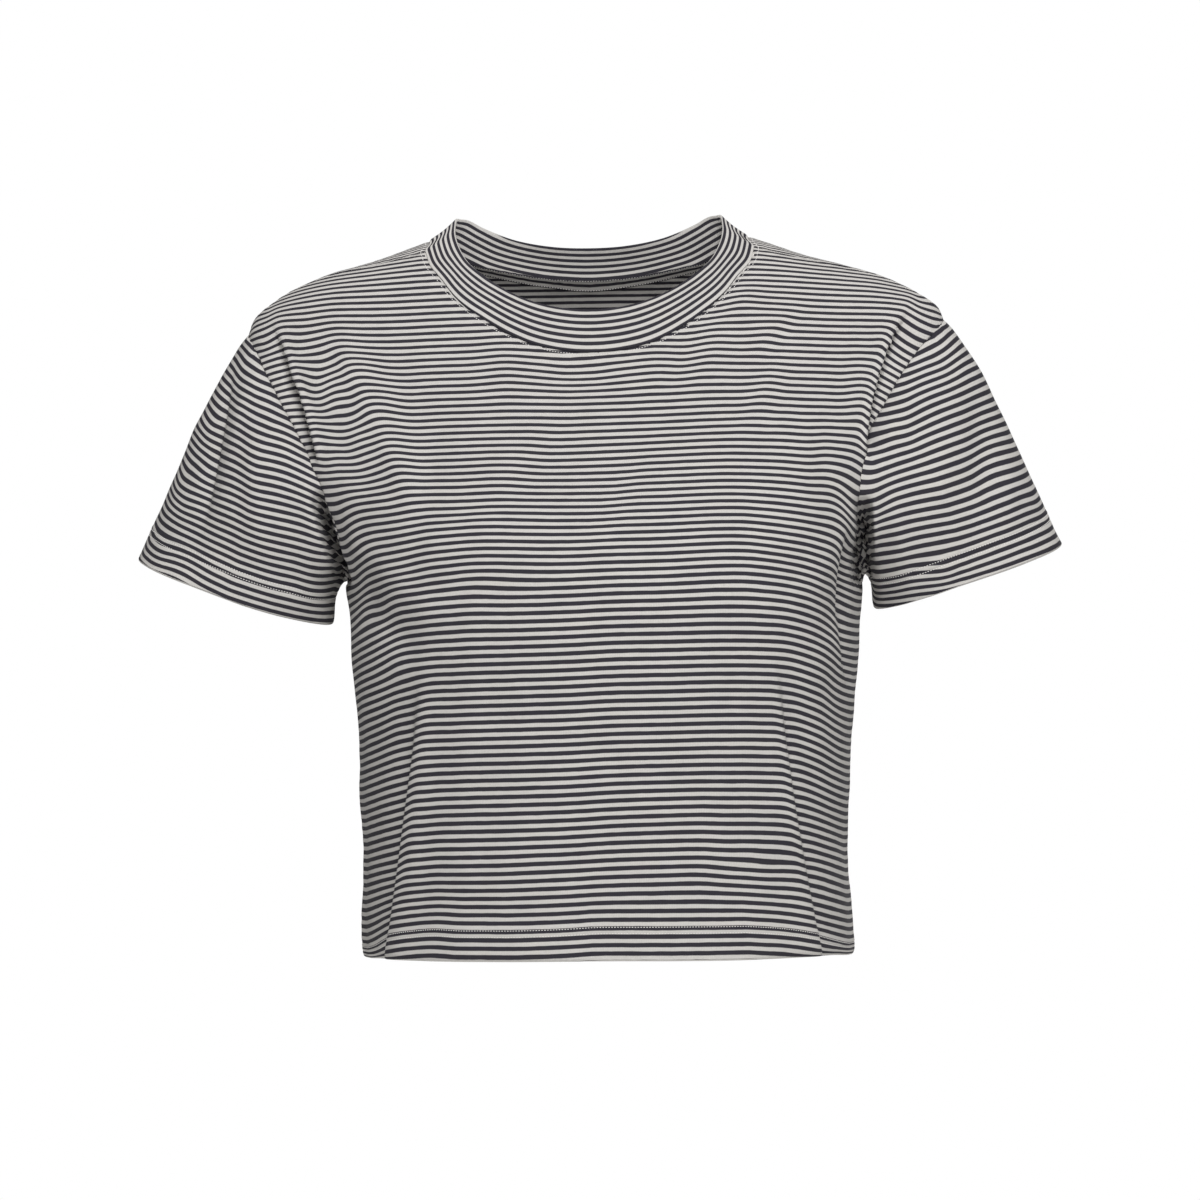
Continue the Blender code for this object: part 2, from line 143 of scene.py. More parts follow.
bodyForm = {
    # height, half width, depth in front, depth behind
    "rings": [
        (-440, 149.5, 128, 92), (-401, 147.6, 129.5, 92), (-365, 146.8, 131, 92.5),
        (-328, 149, 132.5, 93.5), (-292, 150, 134.5, 94.5), (-256, 153, 135.5, 96),
        (-222, 154.4, 134, 97.5), (-203, 157.5, 130, 98.5), (-180, 164.5, 121, 99.5),
        (-153, 180, 105, 99.5), (-131, 191, 90, 97.5), (-110, 199, 75, 93.5), (-90, 205, 60.5, 88),
        (-71, 209, 47.5, 81), (-52, 210, 36, 72), (-45, 207, 31.5, 68), (-36, 195, 26, 61.5),
        (-27, 178, 20.5, 54), (-19, 156, 16, 45.5), (-12, 130, 12, 35), (-5, 110, 7.5, 20),
        (0, 96, 4, 7), (3, 88, 2, 3),
    ],
    "ringPower": 2.35,
    "ridgeFrom": -52,   # the shoulder ridge: the rings above this height
    # height, how far the armhole's front and back edges turn round from the side, in degrees
    "armhole": [
        (-205, 0, 0), (-202, 6, 5), (-195, 12.5, 10.5), (-180, 21.5, 17.5), (-153, 29.4, 23.8),
        (-131, 31.2, 25), (-107, 28.6, 23.8), (-84, 23.8, 20), (-64, 16, 13), (-55, 7, 6), (-52, 0, 0),
    ],
    # distance out, how far the shoulder seam lies below the ridge, in front of it
    "shoulderSeam": [(99.5, 5.226), (118, 3.2), (150, 1.2), (180, 0.3), (210, 0)],
    # turn in degrees, height of the hem
    "hem": [(-90, -427.8), (-45, -429.6), (0, -433), (45, -432), (90, -431)],
    "hemSlope": 1.2,
    # side, seam's distance out and height, folded edge's distance out, depth and height
    "neck": [
        (-1, 0, -71, 0, -28, -45), (-1, 33.5, -66, 26, -25, -41.8), (-1, 58.5, -53.5, 47, -17.5, -33.8),
        (-1, 78.8, -37.5, 65, -8, -21.8), (-1, 92.6, -21, 76.5, 1.5, -9.5), (-1, 99.5, -6.5, 81.5, 11, 6),
        (1, 96, 0, 80.5, 19, 13.8), (1, 92.3, -2.9, 77.8, 23.6, 14.4), (1, 88.2, -5.6, 74.3, 27.6, 14.2),
        (1, 75, -10.8, 64.5, 33.5, 9.5), (1, 50, -16.2, 44.5, 39.5, 2), (1, 25, -20, 22, 42.5, -2),
        (1, 0, -21.5, 0, 43.5, -3),
    ],
    "shoulderStation": 5,
    # height, how far the garment hangs to the left
    "sway": [(-440, 1.8), (-380, 1), (-340, 1), (-300, 2), (-240, 3.2), (-200, 3), (-160, 1.5), (-110, 0),
             (-80, -1.6), (-55, -3), (-20, -3.2), (20, -3.6)],
    # the front is dragged to the right round the armholes: shift, height, reach, from and to where, depth
    "dragged": (-7.0, -118, 60, (105, 150), (195, 225), 25),
    # both sides of the body are slimmer: shift, height, reach, from where out
    "slimmed": (1.3, -315, 85, (100, 145)),
    # the right sleeve lies closer to the body: shift, from where out
    "drawnIn": (2.4, (195, 240)),
    "sleevesFrom": 155.0,
    "sleevesWithin": 60.0,
    "sleeveSlope": 0.007,
    "columns": 28,
    "sideRows": 13,
    "armholeRows": 14,
    "shoulderRows": 8,
    "finer": (7, 6),   # rows and columns of the cloth for each one of the solids
    # where the columns lie closer: place, reach and how many more
    "closer": [(6.2, 1.7, 1.1), (21.8, 1.7, 1.1), (14, 5, -0.45)],
    # the line of the side folds, which the columns follow: height, turn from the side
    "foldLine": [(-430, 0.53), (-411, 0.568), (-387, 0.627), (-346, 0.694), (-311, 0.771), (-275, 0.85),
                 (-240, 0.85), (-190, 0.694)],
    "foldLineMiddle": 0.694,
    "foldLineFrom": (190, 245),   # how far down it begins
    "foldLineReach": 0.34,
    "foldLineSide": 0.2,   # within this turn of the side, the columns stay
    "neckFollows": 3,      # rows of the solids that follow the neck's curve
}


def smoothCurve(at, stations, values):
    # cubic through values at rising stations, with slopes from the neighbours
    stations = np.asarray(stations, float)
    values = np.asarray(values, float)
    slopes = np.gradient(values, stations, axis=0)
    at = np.clip(at, stations[0], stations[-1])
    left = np.clip(np.searchsorted(stations, at, side="right") - 1, 0, len(stations) - 2)
    spread = (1,) * (values.ndim - 1)
    span = (stations[left + 1] - stations[left]).reshape(left.shape + spread)
    part = ((at - stations[left]).reshape(left.shape + spread)) / span
    rise = part * part * (3 - 2 * part)
    return (values[left] * (1 - rise) + values[left + 1] * rise
            + span * part * (1 - part) ** 2 * slopes[left]
            - span * part * part * (1 - part) * slopes[left + 1])


def tableAt(table, at, which=1):
    # one column of a table, as a smooth curve over its first column
    rows = np.array(table, float)
    return smoothCurve(at, rows[:, 0], rows[:, which])


def step(value, low, high):
    # smooth step from 0 at low to 1 at high
    t = np.clip((value - low) / (high - low), 0, 1)
    return t * t * (3 - 2 * t)


def bell(value):
    # 1 in the middle, 0.37 one reach away from it
    return np.exp(-value ** 2)


def signedPower(value, power):
    return np.sign(value) * np.abs(value) ** power


def addedUp(values):
    # running total of values one step apart, starting at 0
    return np.concatenate([[0], np.cumsum((values[1:] + values[:-1]) / 2)])


def runAlong(grid, axis=0):
    # length along a line of points, or up or across a grid of them
    steps = np.linalg.norm(np.diff(grid, axis=axis), axis=-1)
    return np.concatenate([0 * steps.take([0], axis), np.cumsum(steps, axis=axis)], axis=axis)


def unit(vectors):
    return vectors / np.maximum(np.linalg.norm(vectors, axis=-1, keepdims=True), 1e-9)


def ringValue(which, height):
    return tableAt(bodyForm["rings"], height, which)


def ridgeHeight(out):
    # the topmost rings, read the other way round
    return tableAt([ring[1::-1] for ring in bodyForm["rings"][::-1] if ring[0] >= bodyForm["ridgeFrom"]], out)


def turnAt(out, height):
    # inverse of x = halfWidth * cos(turn) ^ (2 / ringPower)
    share = np.clip(np.abs(out) / ringValue(1, height), 0, 1)
    return np.arccos(share ** (bodyForm["ringPower"] / 2))


def bodyPoint(turn, height):
    # superellipse ring: x = a * cos^(2/n), y = b * sin^(2/n), with its own b in front and behind
    across, along = np.cos(turn), np.sin(turn)
    power = 2 / bodyForm["ringPower"]
    depth = np.where(along < 0, ringValue(2, height), ringValue(3, height))
    x = ringValue(1, height) * signedPower(across, power)
    return np.stack([x, depth * signedPower(along, power), height + 0 * turn], axis=-1)


def armholeLine(side):
    # turns and heights at even steps along the armhole, up from the underarm
    table = np.array(bodyForm["armhole"], float)
    knots = np.linspace(0, 1, len(table))
    line = np.column_stack([side * np.radians(table[:, 1 if side < 0 else 2]), table[:, 0]])
    fine = np.linspace(0, 1, 200)
    run = runAlong(bodyPoint(*smoothCurve(fine, knots, line).T))
    at = np.interp(np.linspace(0, run[-1], bodyForm["armholeRows"] + 1), run, fine)
    return smoothCurve(at, knots, line).T


def shoulderLine():
    # turns and heights along the shoulder seam, towards the neck
    seam = bodyForm["shoulderSeam"]
    out = np.linspace(seam[-1][0], seam[0][0], bodyForm["shoulderRows"] + 1)
    height = ridgeHeight(out) - tableAt(seam, out)
    return -turnAt(out, height), height


def turnOf(spots):
    # inverse of bodyPoint, for the left half
    x, y, height = spots.T
    depth = np.where(y < 0, ringValue(2, height), ringValue(3, height))
    power = bodyForm["ringPower"] / 2
    return np.arctan2(signedPower(y / depth, power), (np.maximum(x, 0) / ringValue(1, height)) ** power)


def hemHeight(turn):
    degrees = np.degrees(np.arcsin(np.sin(turn)))
    return tableAt(bodyForm["hem"], degrees) - bodyForm["hemSlope"] * np.cos(turn)


def sideEdge(side, hemSide):
    heights = np.linspace(hemHeight(hemSide), bodyForm["armhole"][0][0], bodyForm["sideRows"] + 1)
    armTurns, armHeights = armholeLine(side)
    topTurns, topHeights = shoulderLine()
    turns = np.concatenate([np.zeros(bodyForm["sideRows"]), armTurns, topTurns[1:]])
    return turns, np.concatenate([heights[:-1], armHeights, topHeights[1:]])


def neckHalf(first, last, share):
    # turn, height and folded edge at shares of the neck seam between two stations
    mirror = np.array([1, -1, 1, -1, 1, 1])
    rows = np.array(bodyForm["neck"], float)
    rows = np.concatenate([rows[1:2] * mirror, rows, rows[-2:-1] * mirror])
    turns = rows[:, 0] * turnAt(rows[:, 1], rows[:, 2])
    turns = np.where(rows[:, 1] < 0, rows[:, 0] * np.pi - turns, turns)
    spots = bodyPoint(turns, rows[:, 2])
    run = runAlong(spots)
    at = run[first + 1] + (run[last + 1] - run[first + 1]) * share
    seam = smoothCurve(at, run, spots)
    return np.column_stack([turnOf(seam), seam[:, 2], smoothCurve(at, run, rows[:, 3:])])


def neckEdge(side, share):
    # share 0 at the centre line, 1 at the shoulder seam
    station = bodyForm["shoulderStation"]
    if side < 0:
        return neckHalf(0, station, share)
    return neckHalf(station, len(bodyForm["neck"]) - 1, 1 - share)


def relaxed(grid, rounds=400):
    # each inner point goes to the middle of its neighbours, again and again
    for _ in range(rounds):
        grid[1:-1, 1:-1] = (grid[2:, 1:-1] + grid[:-2, 1:-1] + grid[1:-1, 2:] + grid[1:-1, :-2]) / 4
    return grid


def halfPanel(side, hemSide):
    # turn and height over the left half: a blend of its four edges
    edgeTurns, edgeHeights = sideEdge(side, hemSide)
    up = np.linspace(0, 1, len(edgeTurns))[:, None]
    half = np.linspace(0, 1, bodyForm["columns"] // 2 + 1)[None, :]
    neck = neckEdge(side, half[0])
    hemTurns = side * np.pi / 2 * (1 - half)
    hemLine = hemHeight(np.abs(hemSide - np.abs(hemTurns)) * side)
    turns = (1 - up) * hemTurns + up * neck[:, 0] + half * (edgeTurns[:, None] - up * neck[-1, 0])
    heights = ((1 - up) * hemLine + up * neck[:, 1]
               + half * (edgeHeights[:, None] - (1 - up) * hemLine[:, -1:] - up * neck[-1, 1]))
    return np.stack([turns, heights], axis=-1)


def refined(grid, times, breaks):
    # more rows along a cubic, in each stretch between two corners
    parts = []
    for first, last in zip(breaks[:-1], breaks[1:]):
        at = np.linspace(first, last, (last - first) * times + 1)
        part = smoothCurve(at, np.arange(first, last + 1), grid[first:last + 1])
        parts.append(part[1:] if parts else part)
    return np.concatenate(parts)


def columnPlaces():
    # running total of 1 + the sum of bells, scaled to the number of columns
    fine = np.linspace(0, bodyForm["columns"], 2001)
    total = addedUp(1 + sum(more * bell((fine - place) / reach) for place, reach, more in bodyForm["closer"]))
    count = bodyForm["columns"] * bodyForm["finer"][1]
    return np.interp(np.linspace(0, total[-1], count + 1), total, fine)


def alongFoldLine(places, side):
    # slides the columns round the body, so that one follows the line of each side fold
    middle = bodyForm["foldLineMiddle"]
    fade = step(-places[..., 1], *bodyForm["foldLineFrom"])
    shift = (tableAt(bodyForm["foldLine"], places[..., 1]) - middle) * fade
    fromLeft = np.abs(places[..., 0])
    left, right = (bell((turn - middle) / bodyForm["foldLineReach"]) * step(turn, 0, bodyForm["foldLineSide"])
                   for turn in (fromLeft, np.pi - fromLeft))
    moved = places.copy()
    moved[..., 0] += side * shift * (left - right)
    return moved


def panelPlaces(side):
    # turn and height over a whole front or back, hem first: the solid's grid made finer
    left = halfPanel(side, 0.0)
    right = halfPanel(side, np.pi)
    right[..., 0] = side * np.pi - right[..., 0]
    whole = relaxed(np.concatenate([right[:, ::-1], left[:, 1:]], axis=1))
    if side > 0:
        whole = whole[:, ::-1]
    low = bodyForm["sideRows"]
    high = low + bodyForm["armholeRows"]
    whole = refined(whole, bodyForm["finer"][0], [0, low, high, high + bodyForm["shoulderRows"]])
    columns = np.arange(bodyForm["columns"] + 1)
    fine = smoothCurve(columnPlaces(), columns, whole.swapaxes(0, 1)).swapaxes(0, 1)
    # the neck's own curve is read off again, and the rows below it follow
    share = columnPlaces() / bodyForm["columns"] * 2 - 1
    neck = neckEdge(side, np.abs(share))[:, :2]
    neck[:, 0] = np.where(share * side > 0, side * np.pi - neck[:, 0], neck[:, 0])
    follow = bodyForm["neckFollows"] * bodyForm["finer"][0]
    fine[-follow:] += (neck - fine[-1]) * step(np.arange(follow), 0, follow - 1)[:, None, None]
    return alongFoldLine(fine, side)


def hung(points):
    # the whole garment's lean, the same for every piece: shifts that fade with height and distance out
    moved = points.copy()
    x, y, z = np.moveaxis(points, -1, 0)
    out = np.abs(x)
    beyond = np.clip((out - bodyForm["sleevesFrom"]) / bodyForm["sleevesWithin"], 0, 1)
    moved[..., 0] += (1 - beyond) * tableAt(bodyForm["sway"], z)
    moved[..., 2] += bodyForm["sleeveSlope"] * x * beyond
    shift, height, reach, inner, outer, depth = bodyForm["dragged"]
    near = bell((z - height) / reach) * step(out, *inner) * (1 - step(out, *outer))
    moved[..., 0] += shift * near * step(-y, 0, depth)
    shift, height, reach, inner = bodyForm["slimmed"]
    moved[..., 0] -= shift * bell((z - height) / reach) * step(out, *inner) * np.sign(x)
    shift, inner = bodyForm["drawnIn"]
    moved[..., 0] += shift * step(-x, *inner)
    return moved


foldShapes = {
    # side, x and height from and to, half width, depth (ridge above 0), lean outwards, bow to the left at
    # the middle, and how much lower the stripes lie on it
    "folds": [
        # along the line down each side
        (-1, -104, -250, -128, -455, 9, 1.6, 0, 1, -1.2), (-1, 104, -250, 128, -455, 9, 1.6, 0, 2, -1),
        (-1, 119, -250, 127, -315, 8, 2, 0, 0, 0.6), (-1, -137, -225, -138, -290, 7, 2.5, 0, 0, 0),
        # waves down from the shoulders
        (-1, -156, -44, -112, -158, 8, 2.6, 0, 5, -2.7), (-1, -178, -78, -134, -152, 10, -1.6, 0, 3, 2.6),
        (-1, -132, -60, -98, -150, 14, -1.6, 0, 4, 0.6), (-1, -178, -44, -160, -100, 8, 1.6, 0, 0, 0),
        (-1, 150, -42, 128, -110, 14, 1.2, 0, 0, 0), (-1, 96, -60, 70, -150, 20, 1.2, 0, 0, 0),
        (-1, -62, -90, -70, -170, 20, 1, 0, 0, 0),
        # swells over the chest, mostly in the stripes
        (-1, -44, -124, 14, -160, 27, 0.6, 0, 0, 1.6), (-1, 70, -85, 82, -225, 34, 0, 0, 0, -1.6),
        (-1, 82, -34, 112, -64, 22, 0, 0, 0, -2.6), (-1, 52, -74, 104, -104, 22, 0, 0, 0, -3),
        (-1, -176, -50, -162, -112, 13, 0, 0, 0, 2), (-1, -74, -160, -66, -212, 30, 0, 0, 0, -1.7),
        (-1, 84, -365, 108, -460, 24, 0, 0, 0, 3.4), (-1, -124, -196, -121, -262, 12, 0, 0, 0, -2.6),
        # from the underarms towards the chest
        (-1, -160, -168, -96, -232, 9, 1.8, 0, 0, 0), (-1, -166, -182, -112, -250, 8, -1.8, 0, 0, 0),
        (-1, 158, -158, 112, -226, 9, 1.6, 0, 0, 0), (-1, 160, -176, 128, -246, 8, -2.2, 0, 0, 0),
        (-1, -150, -212, -142, -300, 7, 2.2, 0, 0, 0), (-1, 146, -180, 140, -285, 8, -2.5, 0, 0, 1.4),
        # hidden side
        (1, -62, -150, -88, -440, 13, 3, 0, 4, -1), (1, -92, -190, -116, -440, 11, -4, 0, 4, 1),
        (1, 74, -165, 96, -440, 13, 3, 0, -4, -1), (1, 104, -180, 124, -440, 11, -4, 0, -4, 1),
        (1, 150, -70, 112, -160, 12, 2.5, 0, 6, -1.5), (1, -152, -72, -118, -158, 12, 2, 0, -6, -1.5),
        (1, 176, -96, 160, -160, 6, 2.4, -2, 0, 0.8), (1, -178, -92, -160, -158, 6, 2.4, -2, 0, 0.8),
        (1, 150, -170, 60, -236, 10, 1.8, 0, 0, 0), (1, -150, -172, -70, -240, 10, 1.8, 0, 0, 0),
        (1, 10, -120, -6, -260, 22, -1.6, 0, 5, 1), (1, 30, -40, 4, -70, 9, 1, 0, 0, 0),
        (1, -36, -34, -20, -62, 8, 1, 0, 0, 0), (1, 120, -330, 60, -400, 16, 1.6, 0, 0, 0),
        (1, -130, -320, -64, -400, 16, 1.6, 0, 0, 0),
        # creases and ripples of the sleeves
        (-1, -215, -66, -236, -160, 6, -3.2, 1.5, 0, 0), (-1, -206, -66, -224, -168, 8, 1.8, 0, -3, 0),
        (-1, -196, -110, -204, -188, 9, 1.2, 0, 0, 0), (-1, -176, -150, -186, -214, 7, -2, 0, 0, 0),
        (-1, 232, -85, 226, -165, 12, -2.2, 0, 4, 0), (-1, 214, -74, 200, -170, 10, 1.6, 0, 6, 0),
        (-1, 246, -110, 244, -190, 9, 1.4, 0, 0, 0), (-1, 196, -124, 192, -206, 9, -1.4, 0, 0, 0),
        (-1, 179, -158, 178, -222, 6, 3, -2, 0, 0), (-1, 172, -160, 170, -222, 5, -3, 0, 0, 0),
        (1, 228, -80, 232, -165, 12, -2.6, 0, 4, 0), (1, -226, -85, -230, -170, 12, -2.6, 0, -4, 0),
        (1, 206, -96, 204, -190, 10, 2, 0, 0, 0), (1, -204, -100, -206, -192, 10, 2, 0, 0, 0),
        (1, 184, -140, 182, -214, 8, -2, 0, 0, 0), (1, -182, -142, -184, -214, 8, -2, 0, 0, 0),
    ],
    # where the cloth laps over itself. Seen from the front and going along the line, the part on the right
    # lies underneath: side, x and height from and to, bow, share over which each end fades, slip and its
    # reach, height of the edge, depth behind it and its reach, width, dip of the stripes at the edge
    "laps": [
        (-1, -107, -258, -135, -446, 2, 0.3, 0.05, 3.4, 22, 1.4, 6, 18, 5, 1.4),
        (-1, 127, -440, 97, -250, 0, 0.05, 0.3, 3.2, 22, 1.4, 6, 18, 4.6, 1.4),
        (-1, -194, -44, -160.5, -136, 3.5, 0.45, 0.12, 3, 7, 2.2, 10, 8, 1.3, 2.2),
        (-1, 165.5, -138, 192, -42, 3.5, 0.12, 0.35, 3, 8, 2.2, 11, 9, 1.3, 2.6),
        (-1, 149, -284, 145.5, -176, 7.3, 0.25, 0.2, 1.5, 6, 1.4, 10, 14, 1.6, 1.6),
        (-1, -215, -54, -238, -180, 0, 0.25, 0.3, 1.8, 14, 0.8, 2.6, 8, 3, 0),
        (1, -120, -446, -92, -230, 0, 0.05, 0.3, 3.6, 24, 1.2, 3, 12, 3, 0),
        (1, 96, -240, 122, -446, 0, 0.3, 0.05, 3.6, 24, 1.2, 3, 12, 3, 0),
    ],
    # where the stripes run down beyond a line: side, x and height from and to, bow, slope
    "slopes": [(-1, 165.5, -138, 197, -24, 3, 0.62), (-1, -198, -24, -160.5, -136, 3, 0.36)],
    # hollows at the underarms: side, x and height from and to, half width on each side of the line, depth
    "pockets": [
        (-1, -163, -148, -154, -210, 3, 7, 44), (-1, 161.5, -158, 158, -214, 5, 8.5, 54),
        (1, 172, -150, 158, -214, 6, 6, 16), (1, -170, -150, -158, -214, 6, 6, 16),
    ],
    "crumple": (1.6, 9.0, 2.2, 7.0),   # inside a hollow: sideways and its wavelength, up and its wavelength
    # where in front the stripes lie lower: x, height, reach across and up, by how much
    "shifts": [
        (-153, -182, 9, 24, 3), (153, -176, 8, 22, 6),
        # shoulders and chest
        (-122, -52, 30, 34, 1.3), (-172, -62, 12, 22, 2.6), (-53, -80, 14, 22, -1.9), (-152, -110, 16, 26, 2.2),
        (-124, -103, 8, 20, -1.6), (0, -84, 12, 10, 1.5), (-17, -82, 13, 14, 2), (38, -80, 18, 22, -2.4),
        (72, -62, 16, 18, -2.2), (88, -100, 14, 16, 1.2), (125, -80, 28, 45, -1.3), (-62, -146, 18, 20, -1),
        (-100, -146, 14, 22, -1), (108, -50, 26, 28, -1.2), (106, -100, 15, 30, -1.2), (-142, -108, 8, 16, 1.5),
        (-160, -85, 8, 14, 1.8), (-178, -82, 6, 12, -1.3), (160, -100, 12, 26, -3.6), (90, -38, 12, 10, -1.6),
        (-142, -114, 8, 18, 1.3), (-158, -84, 7, 18, 2), (-195, -60, 8, 9, 2.5), (178, -68, 6, 10, -1.6),
        (-174, -88, 6, 10, -1.3), (-136, -100, 8, 14, 0.9), (-126, -116, 8, 12, 2.3), (-132, -79, 8, 10, -1.6),
        (-149, -76, 8, 9, 1.5), (-143, -101, 9, 7, -1.1), (-157, -134, 6, 10, 2.2), (156, -97, 10, 20, 2.5),
        (157, -140, 9, 15, -2.3), (142, -152, 8, 14, 1.3),
        # below the underarms
        (106, -190, 16, 30, 1.6), (130, -206, 12, 20, 1.2), (142, -142, 12, 24, -1.3),
        (-142, -172, 12, 30, -1.3), (-80, -214, 20, 26, -1.1), (-135, -190, 14, 26, -1.3),
        (-142, -216, 8, 14, -2.5), (142, -188, 7, 14, 1.6), (143, -218, 8, 14, -3), (143, -156, 12, 32, -3),
        (-124, -290, 8, 30, -1), (-142, -190, 6, 9, 1.5), (-142, -226, 7, 9, -1.8),
        # down the sides to the hem
        (-106, -330, 8, 60, 0.7), (141, -300, 10, 46, 2.2), (143, -265, 8, 16, -1.6), (122, -352, 12, 40, 1),
        (98, -412, 22, 40, 4.9), (80, -420, 16, 30, 1), (70, -388, 12, 44, 1), (-124, -405, 9, 20, 1.8),
        (-122, -424, 12, 16, -5.5), (-106, -420, 10, 18, -3.4), (40, -345, 40, 36, -0.8),
        (-70, -385, 30, 30, 0.8),
        # left sleeve
        (194, -75, 12, 18, 2.2), (190, -152, 18, 22, -0.9), (238, -140, 12, 20, -1.9), (220, -200, 20, 12, 1),
        (265, -165, 9, 12, 1.5), (182, -118, 16, 32, 2.6), (200, -76, 15, 22, 2.6), (225, -178, 30, 25, 1),
        (168, -208, 12, 12, 2.6), (192, -108, 15, 40, 3.2), (164, -155, 10, 22, 2.8), (170, -114, 7, 14, -1.8),
        (211, -76, 9, 20, 2.6), (196, -206, 18, 14, 2.2), (175, -190, 14, 12, 1), (184, -120, 8, 16, -1.4),
        (168, -127, 5, 12, 1.5), (169, -169, 7, 9, 1.5), (172, -146, 12, 18, 1.4), (164, -214, 12, 10, 1.5),
        (207, -206, 10, 10, 1.6),
        # right sleeve
        (-200, -80, 12, 18, 1.6), (-253, -196, 16, 12, -1.4), (-238, -140, 8, 12, 2), (-228, -116, 14, 45, 3),
        (-266, -182, 12, 14, 2.2), (-182, -140, 16, 40, -2.2), (-158, -195, 7, 16, -3),
        (-235, -150, 12, 18, 0.8), (-252, -152, 10, 16, 3), (-170, -152, 20, 40, -1.6),
        (-242, -165, 18, 50, 1.8), (-272, -182, 14, 24, 2.6), (-254, -138, 9, 18, 2.2),
        (-238, -112, 9, 18, 2.2), (-216, -78, 10, 20, 2.4), (-163, -196, 8, 30, -1.6), (-172, -178, 8, 24, -1),
    ],
    # how far from the middle plane each kind begins and is whole
    "fades": {"folds": (6, 34), "laps": (4, 24), "pockets": (2, 20), "shifts": (2, 20), "slopes": (0, 14)},
    "foldEnds": (1.12, 0.3),    # where along its line a fold ends, over which share it fades
    "lapWidths": (-0.2, 0.8, 1.6),   # in widths: the cloth begins to slip, is whole, and reach of the edge
    "dipReach": (12, 3.5),      # under the lap and beside it
    "slopeStart": (2, -0.2, 0.05, 8),   # rounding, share where it begins and is whole, furthest inside the line
    # half width and depth of the form folds stand out from, how much less sideways over the sleeves, where
    "outward": (170, 110, 0.85, (165, 215)),
    # shallow unevenness of worn jersey: wavelength and height
    "unevenness": [(83.0, 0.5), (47.0, 0.3), (29.0, 0.16)],
}


def outwardOf(points):
    # gradient of |x/a|^n + |y/b|^n, mostly to front and back over the sleeves
    wide, deep, less, sleeves = foldShapes["outward"]
    power = bodyForm["ringPower"] - 1
    x = signedPower(points[..., 0] / wide, power) / wide
    x = x * (1 - less * step(np.abs(points[..., 0]), *sleeves))
    y = signedPower(points[..., 1] / deep, power) / deep
    return unit(np.stack([x, y, 0 * x], axis=-1))


def beside(points, line, bow):
    # share of the way along a bowed line in the front view, distance to its left, and its direction
    xFrom, zFrom, xTo, zTo = line
    run = np.array([xTo - xFrom, zTo - zFrom], float)
    length = np.hypot(*run)
    flat = points[..., [0, 2]] - (xFrom, zFrom)
    along = flat @ run / length ** 2
    across = (flat[..., 0] * -run[1] + flat[..., 1] * run[0]) / length
    return along, across - bow * 4 * np.clip(along, 0, 1) * (1 - np.clip(along, 0, 1)), run / length


def ownSide(points, side, kind):
    # a smooth step from the middle plane to a shape's own side
    return step(side * points[..., 1], *foldShapes["fades"][kind])


def foldBell(points, fold):
    # exp(-(distance / half width)^2), faded at both ends, on its own side only
    side, *line, halfWidth, _, _, bow, _ = fold
    along, across, _ = beside(points, line, bow)
    end, share = foldShapes["foldEnds"]
    ends = step(np.minimum(along, end - along), 0, share)
    return bell(across / halfWidth) * ends * ownSide(points, side, "folds")


def lapPlace(points, lap):
    # distance under the lap's edge, direction of the edge, and how much of the lap is there
    side, *line, bow, firstFade, lastFade = lap[:8]
    along, across, way = beside(points, line, bow)
    fade = step(along, 0, firstFade) * step(1 - along, 0, lastFade)
    return -across, way, fade * ownSide(points, side, "laps")


def lapped(points):
    # under the lap the cloth slips towards its edge by slip * s, and lies behind it by depth * s, where s
    # rises within the width and dies away exponentially; the lap's own edge stands out as a bell
    moved = points.copy()
    begins, whole, edgeReach = foldShapes["lapWidths"]
    for lap in foldShapes["laps"]:
        under, way, fade = lapPlace(points, lap)
        slip, reach, edge, depth, depthReach, width = lap[8:14]
        begun = step(under, begins * width, whole * width)
        beyond = np.maximum(under - whole * width, 0)
        slide = slip * begun * np.exp(-beyond / reach) * fade
        out = edge * bell((under + width) / (edgeReach * width)) - depth * begun * np.exp(-beyond / depthReach)
        moved += np.stack([-way[1] * slide, lap[0] * out * fade, way[0] * slide], axis=-1)
    return moved


def pocketed(points):
    # a hollow goes in by depth * (1 - distance / half width), never past the middle of the garment, and
    # the cloth in it is crumpled: sines of the height, sideways and upwards
    moved = points.copy()
    x, y, z = np.moveaxis(points, -1, 0)
    sideways, wave, upward, upWave = foldShapes["crumple"]
    for side, *line, left, right, depth in foldShapes["pockets"]:
        along, across, _ = beside(points, line, 0)
        deep = np.maximum(1 - np.where(across > 0, across / left, -across / right), 0)
        deep = deep * step(along, 0, 0.4) * step(1.05 - along, 0, 0.2)
        moved[..., 1] -= side * np.minimum(depth * deep, 0.95 * np.maximum(side * y, 0))
        deep = deep * ownSide(points, side, "pockets")
        moved[..., 0] += sideways * deep * np.sin(2 * np.pi * z / wave)
        moved[..., 2] += upward * deep * np.sin(2 * np.pi * (z + 2 * x) / upWave)
    return moved


def folded(points):
    # laps and hollows first, then every fold moves the cloth out by its depth and sideways by its lean
    outward = outwardOf(points)
    moved = lapped(points) + pocketed(points) - points
    for fold in foldShapes["folds"]:
        risen = foldBell(points, fold)
        depth, lean = fold[6:8]
        moved += outward * (depth * risen)[..., None]
        moved[..., 0] += np.sign(fold[1]) * lean * risen
    return moved


